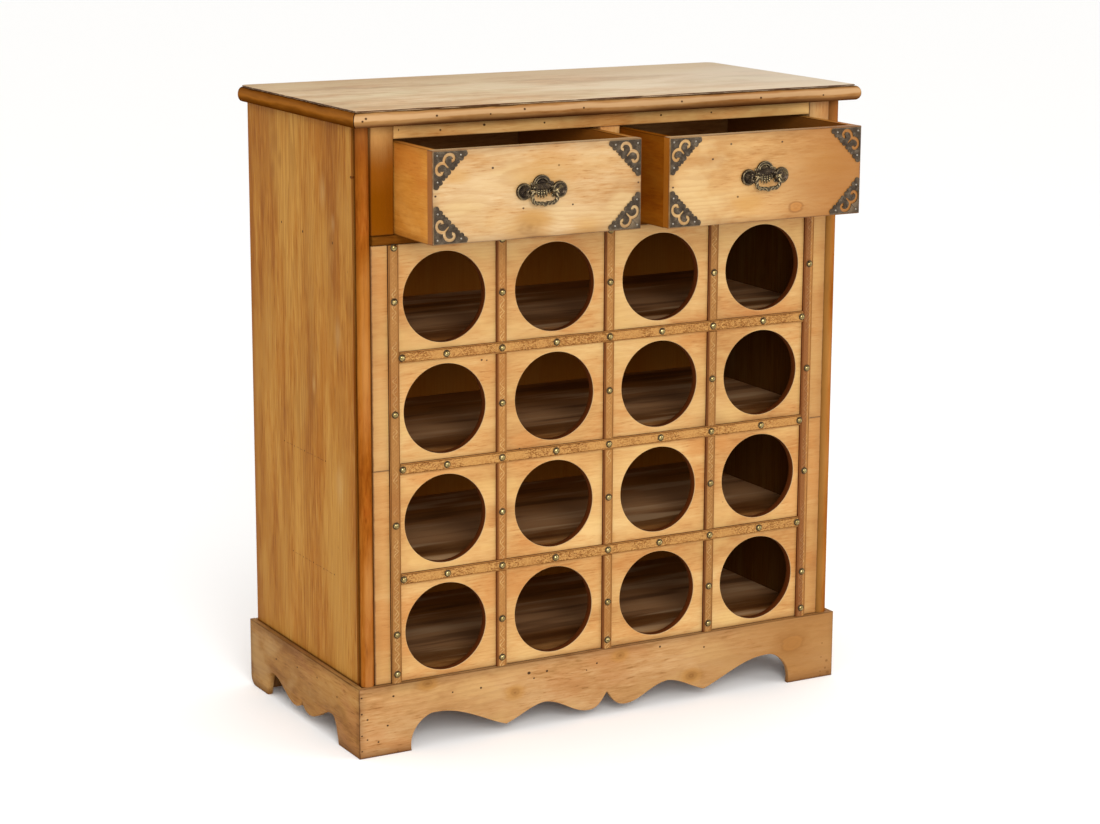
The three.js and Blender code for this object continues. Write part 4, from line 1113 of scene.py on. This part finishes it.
# Lower edge from the middle to the foot: shares of half the length, and of the height
frontEdgeShares = [(0, 0.365), [
    ((0.03, 0.2), (0.04, 0.129), (0.083, 0.129)),
    ((0.142, 0.135), (0.195, 0.361), (0.262, 0.37)),
    ((0.313, 0.355), (0.363, 0.215), (0.418, 0.144)),
    ((0.502, 0.244), (0.598, 0.522), (0.707, 0.497)),
    ((0.735, 0.512), (0.814, 0.325), (0.797, 0)),
]]
sideEdgeShares = [(0, 0.27), [
    ((0.02, 0.19), (0.07, 0.14), (0.132, 0.134)),
    ((0.28, 0.13), (0.4, 0.39), (0.545, 0.385)),
    ((0.615, 0.395), (0.643, 0.205), (0.67, 0)),
]]
apronMarks = [
    ("knot", -258, 84, 5.5), ("knot", -135.3, 52, 6.0), ("knot", 18.6, 78, 5.5),
    ("knot", 127.3, 34, 6.5), ("ringKnot", 286.2, 55.1, 11), ("shade", 284, 55, 15),
    ("shade", 270, 66, 6), ("dot", 343, 22, 2.2), ("dot", 341, 12, 1.8), ("dot", 345, 5, 2.8),
    ("dot", 333, 2.5, 2.0), ("dash", 302, 2, 2.0), ("dash", -300, 2, 2.0), ("dot", -115.2, 75.4, 2.2),
    ("dot", -89.1, 74, 1.5), ("dot", -183.8, 66.5, 1.6), ("dot", 78.9, 81, 1.8),
    ("dot", 146.7, 70.4, 1.5), ("dot", -349, 79, 1.3), ("dot", -349, 58, 1.3),
    ("dot", -349, 30, 1.3), ("dot", -349, 10, 1.3), ("dot", -341.3, 50, 1.4),
    ("dot", -341.6, 24, 1.4), ("dot", -326.7, 19, 1.4), ("dot", 335, 47.8, 1.3),
    ("dot", 334, 28.2, 1.3), ("dot", 333, 8, 1.3), ("dot", -107.9, 67.3, 1.3),
    ("dot", -223.8, 67.1, 1.3), ("dot", -305.7, 74.9, 1.5), ("dot", -313.9, 38.2, 1.4),
    ("dot", -15.8, 73.1, 1.3), ("dot", -31, 66.2, 1.2),
]
sideApronNails = [(60, 62), (120, 70), (182, 66), (250, 58)]          # depth behind the front plane, height
sideApronTone = {"pale": (216, 164, 96), "honey": (198, 142, 76), "brown": (164, 110, 54), "gloss": 0.02}


def halfEdge(shares, half, height, middle, sign):
    notch, curves = shares
    last = (middle + sign * notch[0] * half, notch[1] * height)
    points = [last]
    for curve in curves:
        spots = [(middle + sign * a * half, b * height) for a, b in curve]
        points += bezier(last, *spots, apronShape["steps"])
        last = spots[2]
    return points


def lowerEdge(shares, half, height, middle):
    # From one foot to the other
    before = halfEdge(shares, half, height, middle, -1)
    return before[::-1] + halfEdge(shares, half, height, middle, 1)[1:]


def mitreCut(mesh, corner, direction):
    # Takes off what lies past the upright plane through the corner that faces direction
    def cut(shape):
        bmesh.ops.remove_doubles(shape, verts=shape.verts, dist=1e-6)
        made = bmesh.ops.bisect_plane(shape, geom=shape.verts[:] + shape.edges[:] + shape.faces[:],
                                      plane_co=corner, plane_no=direction, clear_outer=True)
        edges = [item for item in made["geom_cut"] if isinstance(item, bmesh.types.BMEdge)]
        bmesh.ops.holes_fill(shape, edges=edges)

    reshape(mesh, cut)


def buildAprons():
    low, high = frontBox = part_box("apron_front")
    height, gap, soft = high.z, apronShape["gap"] * mm, apronShape["soft"]
    outline = [(low.x, height), (low.x, 0.0)] + lowerEdge(frontEdgeShares, high.x, height, 0.0)
    outline += [(high.x, 0.0), (high.x, height)]
    mesh = cutPlate("apron_board_front", [outline], low.y, high.y, soft)
    for sign in (-1, 1):
        mitreCut(mesh, (sign * high.x, low.y + gap, 0), (sign, 1, 0))
    material = pine("apron_front_pine", "plinth", "xzy", frontBox, marks=apronMarks,
                    stains=[("x", high.x - 260 * mm, 1, (180, 124, 64), 200.0, 0.7),
                            ("z", low.z + 16 * mm, -1, (128, 78, 34), 16.0, 0.5),
                            ("z", low.z + 4 * mm, -1, (92, 52, 24), 4.0, 0.6)])
    placePiece("apron_board_front", mesh, "cabinet", material, ["apron_front"])
    front, inner, radius = low.y, high.y, apronShape["rearRadius"] * mm
    marks = [("dot", frontPlane / mm + y, z, 1.4) for y, z in sideApronNails]
    for side, sign in (("left", -1), ("right", 1)):
        name, node = "apron_board_" + side, "apron_" + side
        low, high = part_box(node)
        heel = arcPoints((high.y - radius, radius), radius, -90, 0, apronShape["heelSteps"])
        outline = [(front, height), (front, 0.0)]
        outline += lowerEdge(sideEdgeShares, (high.y - inner) / 2, height, (inner + high.y) / 2)
        mesh = cutPlate(name, [outline + heel + [(high.y, height)]], 0.0, high.x - low.x, soft)
        mesh.transform(Matrix(((0, 1, 0, low.x), (1, 0, 0, 0), (0, 0, 1, 0), (0, 0, 0, 1))))
        mitreCut(mesh, (low.x if sign < 0 else high.x, front + gap, 0), (-sign, -1, 0))
        material = pine(node + "_pine", "plinth", "yzx", (low, high), marks=marks, change=sideApronTone,
                        stains=[("z", low.z + 16 * mm, -1, (120, 72, 30), 16.0, 0.5)])
        placePiece(name, mesh, "cabinet", material, [node])


buildAprons()
print("plinth made")


# Iron corner plates, pierced by a double scroll, with a nail at the corner and at both tips

plateShape = {
    "soft": 0.2, "stroke": 1.95, "ball": 2.75, "ballSteps": 3, "tipShare": 0.75, "lineSteps": 5,
    "nailRadius": 1.25, "nailRise": 0.8, "nailSink": 0.1, "nailRings": 6, "nailSides": 12,
    "scallopSteps": 5, "bulge": 0.38,
    # places in mm from the corner: long edge, scroll, its middle and its tail, nails
    "edge": [(43.0, 0.0), (39.7, 7.6), (33.7, 11.0), (31.0, 15.2), (28.3, 18.6), (21.3, 21.3)],
    "scroll": [(23.4, 11.0), (25.9, 10.6), (26.6, 7.6), (24.4, 4.6), (20.1, 3.8), (16.2, 5.6), (14.0, 9.0)],
    "middle": (12.9, 12.9), "tail": [(15.8, 13.9), (20.2, 18.9), (18.9, 20.2), (13.9, 15.8)],
    "nails": [(4.6, 4.6), (35.4, 5.0), (5.0, 35.4)],
}
steelPaints = {"dark": (70, 64, 58), "pale": (176, 166, 150), "cloud": (800, 3, 0.6), "roughness": 0.2,
               "fineRough": 0.2, "metallic": 0.8, "relief": 0.05}
ironPaints = {
    "tones": [(0.3, (28, 21, 17)), (0.5, (54, 46, 38)), (0.76, (108, 96, 80))], "edge": (126, 106, 82),
    "edgeFade": (0.52, 0.62, 0.0, 0.6), "broad": (130, 3, 0.6), "fine": (900, 3, 0.7), "broadShare": 0.6,
    "roughness": 0.34, "fineRough": 0.35, "metallic": 0.2, "broadMetallic": 0.4, "gloss": 0.12,
    "gleam": (255, 214, 168), "fineRelief": 0.6, "relief": 0.2,
}


def mirrored(points):
    return [(b, a) for a, b in points[::-1]]


def scallops():
    # Small lobes between the points of the plate's long edge, from one tip to the other
    points = plateShape["edge"] + mirrored(plateShape["edge"])[1:]
    outline = [(0.0, 0.0), points[0]]
    for start, end in zip(points, points[1:]):
        a, b = Vector(start), Vector(end)
        out = Vector((b.y - a.y, a.x - b.x)) * -plateShape["bulge"]
        if out.dot(Vector((1, 1))) < 0:
            out = -out
        for i in range(1, plateShape["scallopSteps"] + 1):
            t = i / plateShape["scallopSteps"]
            outline.append(tuple(a.lerp(b, t) + out * (4 * t * (1 - t))))
    return outline


def smoothLine(points, steps):
    # A curve through the points
    made = []
    ends = [points[0]] + points + [points[-1]]
    for i in range(len(points) - 1):
        p0, p1, p2, p3 = (Vector(p) for p in ends[i:i + 4])
        for k in range(steps):
            t = k / steps
            made.append(0.5 * (2 * p1 + (p2 - p0) * t + (2 * p0 - 5 * p1 + 4 * p2 - p3) * t * t
                               + (3 * p1 - p0 - 3 * p2 + p3) * t ** 3))
    return made + [Vector(points[-1])]


def scrollOutline():
    # Both hooks as one stroke of changing width, with the shared tail on its inner side
    scroll = plateShape["scroll"]
    line = smoothLine(scroll + [plateShape["middle"]] + mirrored(scroll), plateShape["lineSteps"])
    count = len(line) - 1
    half = count // 2
    first, second = [], []
    for i, point in enumerate(line):
        ahead = line[min(count, i + 1)] - line[max(0, i - 1)]
        toEnd = min(i, count - i)
        width = plateShape["ball" if toEnd < plateShape["ballSteps"] else "stroke"]
        width *= plateShape["tipShare"] if toEnd == 0 else 1
        across = Vector((-ahead.y, ahead.x)).normalized() * width
        first.append(point + across)
        second.append(point - across)
    inner = first if first[half].length > second[half].length else second
    tail = [Vector(point) for point in plateShape["tail"]]
    if (inner[half - 3] - tail[0]).length > (inner[half - 3] - tail[-1]).length:
        tail.reverse()
    inner[half - 1:half + 2] = tail
    return [tuple(p) for p in first + second[::-1]]


def spun(centre, profile, sides, unit=1.0):
    # Rings of a shape turned about Y: the profile gives radius and rise towards -Y
    x, y, z = centre
    return [[(x + radius * c * unit, y - rise * unit, z + radius * s * unit) for c, s in circle(sides)]
            for radius, rise in profile]


def buildPlates(side, iron, steel):
    nailProfile = []
    for i in range(plateShape["nailRings"]):
        angle = math.pi / 2 * i / (plateShape["nailRings"] - 0.5)
        nailProfile.append((plateShape["nailRadius"] * math.cos(angle),
                            plateShape["nailRise"] * math.sin(angle) - plateShape["nailSink"]))
    nails = []
    for corner in ("top_left", "top_right", "bottom_left", "bottom_right"):
        node = f"corner_plate_{side}_{corner}"
        low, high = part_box(node)
        signX = 1 if "left" in corner else -1
        signZ = -1 if "top" in corner else 1
        x = low.x if signX > 0 else high.x
        z = low.z if signZ > 0 else high.z

        def placed(points, x=x, z=z, signX=signX, signZ=signZ):
            return [(x + signX * a * mm, z + signZ * b * mm) for a, b in points]

        mesh = cutPlate(node + "_pierced", [placed(scallops()), placed(scrollOutline())], low.y, high.y,
                        plateShape["soft"])
        placePiece(f"plate_{side}_{corner}", mesh, "drawer_" + side, iron, [node])
        nails += [spun((a, low.y, b), nailProfile, plateShape["nailSides"], mm)
                  for a, b in placed(plateShape["nails"])]
    name = "plate_nails_" + side
    placePiece(name, skinMesh(name, nails), "drawer_" + side, steel, (), 60)


def steelMaterial():
    paints, sheet = steelPaints, Sheet("nail_steel")
    fine = sheet.cloud(sheet.place(), *paints["cloud"])
    colour = sheet.mix(fine, tint(paints["dark"]), tint(paints["pale"]))
    roughness = paints["roughness"] + fine * paints["fineRough"]
    return sheet.finish({"Base Color": colour, "Roughness": roughness, "Metallic": paints["metallic"]},
                        fine, paints["relief"])


def ironMaterial():
    paints, sheet = ironPaints, Sheet("black_iron")
    place = sheet.place()
    broad, fine = sheet.cloud(place, *paints["broad"]), sheet.cloud(place, *paints["fine"])
    tone = broad * paints["broadShare"] + fine * (1 - paints["broadShare"])
    peaks = sheet.node("NewGeometry", output="Pointiness")
    colour = sheet.layer(sheet.ramp(tone, paints["tones"]),
                         [(sheet.ease(peaks, *paints["edgeFade"]), paints["edge"])])
    return sheet.finish({
        "Base Color": colour, "Roughness": paints["roughness"] + (fine - 0.5) * paints["fineRough"],
        "Metallic": paints["metallic"] + (broad - 0.5) * paints["broadMetallic"],
        "Specular IOR Level": paints["gloss"], "Specular Tint": tint(paints["gleam"]),
    }, fine * paints["fineRelief"] + broad, paints["relief"])


# Cast pulls: dished lobes, a swag with hanging flutes and bosses, and a leafy bail

pullShape = {
    "voxel": 0.38, "melt": 2, "centreRise": 14.2, "lobeSpread": 24.0, "lobeDrop": 4.0, "crownRise": 2.5,
    "pivotDrop": 4.0, "postSpread": 11.8, "sides": 40,
    # radius and height from the middle of a dish to its rim
    "lobe": [(0, 2.0), (3.4, 1.6), (5.6, 2.0), (7.0, 3.1), (8.2, 3.9), (9.3, 3.7), (10.1, 2.4), (10.2, 0.2)],
    "crown": [(0, 1.6), (6.2, 1.4), (7.6, 2.6), (8.6, 3.0), (9.6, 2.1), (10.6, 2.9), (11.7, 3.0),
              (12.4, 1.9), (12.5, 0.2)],
    "post": [(4.0, 0.2), (3.0, 2.0), (2.4, 4.0), (2.3, 6.0), (2.2, 7.5)],
    # bosses of one half: place, then radii
    "bosses": [((11.8, -9.0, -4.0), (2.5, 2.6, 2.6)), ((11.8, -4.6, 0.2), (2.4, 2.2, 2.2)),
               ((16.6, -2.4, -5.0), (4.2, 1.6, 3.4)), ((12.6, -2.0, 4.2), (3.6, 1.3, 2.6)),
               ((15.2, -1.8, -10.2), (2.6, 1.2, 2.4))],
}
swagShape = {"half": 14.2, "steps": 10, "stand": 3.1, "top": 1.6, "sag": 2.6, "radius": 2.2, "swell": 1.9,
             "taper": 1.25, "flat": 0.9, "edgeRadius": 0.8, "edgeDrop": 1.6, "edgeOut": 1.0}
fluteShape = {"count": 6, "spread": 8.6, "tipSpread": 9.6, "stand": 2.6, "tipStand": 2.2, "top": 1.5,
              "reach": 8.6, "middleReach": 4.6, "bow": 1.1, "radius": 1.45, "taper": 0.6, "steps": 8}
bailShape = {"radius": 2.3, "arm": 16.9, "drop": 14.0, "point": 1.6, "corner": 7.0, "cornerShare": 0.4,
             "step": 0.45, "sides": 24, "core": 2.1, "most": 2.75, "flat": 0.94, "endShare": 0.6,
             "leafPitch": 0.62, "leafLean": 0.9, "leafRise": 0.36, "leafPower": 0.7, "veins": 3,
             "veinPitch": 1.1, "veinRise": 0.176, "swells": [(0.35, 0.0, 2.2), (0.25, 13.0, 1.4)],
             "pinRadius": 1.2, "pinReach": 4.3, "pinInset": 0.4, "pinTip": 0.7, "pinSides": 16}


def tube(line, radii, sides=14, flat=1.0):
    # Rings of the given radii square to a line of points, squeezed by flat towards the board
    rings = []
    for i, point in enumerate(line):
        ahead = (line[min(len(line) - 1, i + 1)] - line[max(0, i - 1)]).normalized()
        first = ahead.cross(Vector((0, 1, 0))).normalized()
        second = Vector((0, 1, 0)) if abs(ahead.y) < 0.1 else ahead.cross(first).normalized()
        rings.append([tuple(point + first * radii[i] * c + second * radii[i] * flat * s)
                      for c, s in circle(sides)])
    return rings


def pebble(centre, radii, sides=16, steps=10):
    rings = []
    for i in range(1, steps):
        angle = math.pi * i / steps
        wide = math.sin(angle)
        rings.append([(centre[0] + radii[0] * wide * c, centre[1] - radii[1] * math.cos(angle),
                       centre[2] + radii[2] * wide * s) for c, s in circle(sides)])
    return rings


def dish(profile, x, z):
    rings = [(profile[-1][0], 0.0)] + profile[::-1]
    return spun((x, 0, z), [(max(radius, 0.05), rise) for radius, rise in rings], pullShape["sides"])


def swag():
    # The arched swag and a rolled edge under it
    shape = swagShape
    half, steps = shape["half"], shape["steps"]
    arch = [Vector((x, -shape["stand"], shape["top"] - (x / half) ** 2 * shape["sag"]))
            for x in (half * k / steps for k in range(-steps, steps + 1))]
    full = [math.cos(p.x / half * shape["taper"]) for p in arch]
    edge = [p + Vector((0, -shape["edgeOut"], -shape["edgeDrop"] * (1 + f))) for p, f in zip(arch, full)]
    return [tube(arch, [shape["radius"] + shape["swell"] * f for f in full], flat=shape["flat"]),
            tube(edge, [shape["edgeRadius"]] * len(edge), 8)]


def flutes():
    shape = fluteShape
    made = []
    for k in range(shape["count"]):
        share = 2 * k / (shape["count"] - 1) - 1
        top = Vector((share * shape["spread"], -shape["stand"], -shape["top"]))
        tip = Vector((share * shape["tipSpread"], -shape["tipStand"],
                      -shape["reach"] - shape["middleReach"] * (1 - share * share)))
        steps = [i / shape["steps"] for i in range(shape["steps"] + 1)]
        line = [top.lerp(tip, t) + Vector((0, -shape["bow"] * math.sin(math.pi * t), 0)) for t in steps]
        made.append(tube(line, [shape["radius"] - shape["taper"] * t ** 2 for t in steps], 10))
    return made


def castParts():
    # The backplate's parts in millimetres about its centre, the board at y = 0, towards -Y
    shape = pullShape
    parts = [dish(shape["lobe"], sign * shape["lobeSpread"], -shape["lobeDrop"]) for sign in (-1, 1)]
    parts += [dish(shape["crown"], 0, shape["crownRise"])] + swag() + flutes()
    for sign in (-1, 1):
        parts.append(spun((sign * shape["postSpread"], 0, -shape["pivotDrop"]), shape["post"], 16))
        parts += [pebble((sign * x, y, z), radii) for (x, y, z), radii in shape["bosses"]]
    return parts


def buildCast(side, bronze):
    node = "pull_backplate_" + side
    low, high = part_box(node)
    centre = Vector(((low.x + high.x) / 2, high.y, low.z + pullShape["centreRise"] * mm))
    forms = [[[centre + Vector(p) * mm for p in ring] for ring in rings] for rings in castParts()]
    mesh = skinMesh("cast", forms)
    reshape(mesh, facedOut)
    holder = show("cast", mesh)
    remesh = holder.modifiers.new("fuse", "REMESH")
    remesh.mode = "VOXEL"
    remesh.voxel_size = pullShape["voxel"] * mm
    smooth = holder.modifiers.new("melt", "SMOOTH")
    smooth.iterations = pullShape["melt"]
    smooth.factor = 0.5
    placePiece("pull_cast_" + side, takeMesh(holder), "drawer_" + side, bronze, [node], 180)


def bailLine():
    # The bail's middle line from one arm to the other, in equal steps
    shape = bailShape
    arm, drop, corner = shape["arm"], shape["drop"], shape["corner"]
    tight = corner * shape["cornerShare"]
    right = [(arm, shape["radius"]), (arm, 0), (arm, -drop / 4), (arm, -drop + corner)]
    right += bezier(right[-1], (arm, -drop + tight), (arm - tight, -drop), (arm - corner, -drop), 8)
    right += bezier(right[-1], (corner, -drop), (corner / 2, -drop), (0, -drop - shape["point"]), 10)
    rough = [Vector((x, 0, z)) for x, z in right + [(-x, z) for x, z in right[-2::-1]]]
    lengths = [0.0]
    for a, b in zip(rough, rough[1:]):
        lengths.append(lengths[-1] + (b - a).length)
    total = lengths[-1]
    count = round(total / shape["step"])
    line = []
    for i in range(count + 1):
        s = total * i / count
        k = min(max(j for j in range(len(lengths)) if lengths[j] <= s + 1e-9), len(rough) - 2)
        line.append(rough[k].lerp(rough[k + 1], (s - lengths[k]) / (lengths[k + 1] - lengths[k])))
    return line, total


def bailRadius(s, angle):
    # Turned leaves with fine veins, swelling at the middle and at the corners
    shape = bailShape
    leaf = abs(math.sin(s * shape["leafPitch"] + shape["leafLean"] * math.cos(angle))) ** shape["leafPower"]
    vein = shape["veinRise"] * math.cos(shape["veins"] * angle + s * shape["veinPitch"])
    swell = sum(rise * math.exp(-((s - place) / width) ** 2) for rise, place, width in shape["swells"])
    return min(shape["most"], shape["core"] + shape["leafRise"] * leaf + vein + swell)


def buildBail(side, bronze):
    shape = bailShape
    low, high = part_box("pull_bail_" + side)
    pivot = Vector(((low.x + high.x) / 2, (low.y + high.y) / 2, high.z - shape["radius"] * mm))
    line, total = bailLine()
    count = len(line) - 1
    rings = []
    for i, point in enumerate(line):
        s = abs(total * (i / count) - total / 2)
        ahead = (line[min(count, i + 1)] - line[max(0, i - 1)]).normalized()
        first = ahead.cross(Vector((0, 1, 0))).normalized()
        ring = []
        for k in range(shape["sides"]):
            angle = 2 * math.pi * k / shape["sides"]
            radius = bailRadius(s, angle) * (shape["endShare"] if i in (0, count) else 1)
            spot = point + first * radius * math.cos(angle)
            spot.y += shape["flat"] * radius * math.sin(angle)
            ring.append(pivot + spot * mm)
        rings.append(ring)
    forms = [rings]
    for sign in (-1, 1):
        start, reach = sign * (shape["arm"] - shape["pinInset"]), shape["radius"] + shape["pinReach"]
        pin = [(start - sign * reach * t, shape["pinRadius"] * share)
               for t, share in ((0, 1), (0.5, 1), (0.97, 1), (1, shape["pinTip"]))]
        forms.append([[pivot + Vector((x, r * c, r * s)) * mm for c, s in circle(shape["pinSides"])]
                      for x, r in pin])
    name = "bail_cast_" + side
    placePiece(name, skinMesh(name, forms), "bail_" + side, bronze, ["pull_bail_" + side], 60)


bronzePaints = {
    "tones": [(0.32, (29, 19, 14)), (0.52, (52, 40, 29)), (0.72, (90, 76, 48))],
    "wearAndSheen": (206, 184, 136), "wearAndSheenPeaks": (0.506, 0.575), "wearAndSheenFine": (0.59, 0.69, 0.0, 0.4),
    "wearAndSheenShare": 0.85, "sunk": (10, 5, 5), "sunkPeaks": (0.44, 0.495, 1.0, 0.0), "sunkShare": 0.95,
    "broad": (160, 3, 0.6), "fine": (1100, 3, 0.6), "roughness": 0.27, "fineRough": 0.3,
    "sunkRough": 0.3, "metallic": 0.8, "sunkDull": 0.5, "gloss": 0.35, "relief": 0.1,
}


def bronzeMaterial():
    paints, sheet = bronzePaints, Sheet("dark_bronze")
    place = sheet.place()
    broad, fine = sheet.cloud(place, *paints["broad"]), sheet.cloud(place, *paints["fine"])
    peaks = sheet.node("NewGeometry", output="Pointiness")
    # pale metal on the peaks and in fine specks: painted highlights, with the wear of the peaks
    wearAndSheen = sheet.maths("MAXIMUM", sheet.ease(peaks, *paints["wearAndSheenPeaks"]),
                         sheet.ease(fine, *paints["wearAndSheenFine"]))
    sunk = sheet.ease(peaks, *paints["sunkPeaks"])
    colour = sheet.layer(sheet.ramp(broad, paints["tones"]), [
        (wearAndSheen * paints["wearAndSheenShare"], paints["wearAndSheen"]), (sunk * paints["sunkShare"], paints["sunk"])])
    roughness = paints["roughness"] + (fine - 0.5) * paints["fineRough"] + sunk * paints["sunkRough"]
    return sheet.finish({"Base Color": colour, "Roughness": roughness, "Specular IOR Level": paints["gloss"],
                         "Metallic": paints["metallic"] - sunk * paints["sunkDull"]}, fine, paints["relief"])


def buildHardware():
    iron, bronze, steel = ironMaterial(), bronzeMaterial(), steelMaterial()
    for side in ("left", "right"):
        buildPlates(side, iron, steel)
        buildCast(side, bronze)
        buildBail(side, bronze)


buildHardware()
print("hardware made")


# Floor, lights and camera

stageSettings = {
    "floorReach": 40.0, "floor": (254, 253, 251), "mottle": 3.0, "mottleShare": 0.06,
    "roughness": 0.8, "mottleRough": 0.1, "world": 1.0, "aim": (0, 0, 0.4),
    "key": {"place": (-1.2, -3.4, 1.75), "size": 1.8, "power": 106.0},
    "fill": {"place": (2.4, -2.6, 1.5), "size": 1.6, "power": 22.0},
}
cameraSettings = {
    "place": (-1.68488, -2.87622, 1.14435),     # from the foot of the front plane's middle
    "yaw": 29.114, "pitch": -12.579, "roll": 0.224, "lens": 88.485,
}


def buildStage():
    reach = stageSettings["floorReach"]
    floor = bpy.data.meshes.new("floor")
    floor.from_pydata([(-reach, -reach, 0), (reach, -reach, 0), (reach, reach, 0), (-reach, reach, 0)],
                      [], [(0, 1, 2, 3)])
    sheet = Sheet("floor_paint")
    mottle = sheet.cloud(sheet.place(), stageSettings["mottle"])
    colour = sheet.mix(mottle * stageSettings["mottleShare"], tint(stageSettings["floor"]), (1, 1, 1, 1))
    roughness = stageSettings["roughness"] + mottle * stageSettings["mottleRough"]
    floor.materials.append(sheet.finish({"Base Color": colour, "Roughness": roughness}))
    show("floor", floor)
    world = bpy.data.worlds.new("studio")
    world.use_nodes = True
    background = world.node_tree.nodes["Background"]
    background.inputs["Color"].default_value = (1, 1, 1, 1)
    background.inputs["Strength"].default_value = stageSettings["world"]
    bpy.context.scene.world = world
    for name in ("key", "fill"):
        setting = stageSettings[name]
        data = bpy.data.lights.new(name, "AREA")
        data.size = setting["size"]
        data.energy = setting["power"]
        lamp = show(name, data)
        lamp.location = setting["place"]
        aim = Vector(stageSettings["aim"]) - lamp.location
        lamp.rotation_euler = aim.to_track_quat("-Z", "Y").to_euler()
    bpy.context.scene.view_settings.view_transform = "Standard"


def buildCamera():
    setting = cameraSettings
    data = bpy.data.cameras.new("photo_camera")
    data.sensor_width = 36
    data.lens = setting["lens"]
    camera = show("photo_camera", data)
    turn = (Matrix.Rotation(math.radians(-setting["yaw"]), 4, "Z")
            @ Matrix.Rotation(math.radians(90 + setting["pitch"]), 4, "X")
            @ Matrix.Rotation(math.radians(setting["roll"]), 4, "Z"))
    camera.matrix_world = Matrix.Translation(Vector(setting["place"]) + Vector((0, frontPlane, 0))) @ turn
    bpy.context.scene.camera = camera


buildStage()
buildCamera()
print("stage made")

bpy.context.view_layer.update()
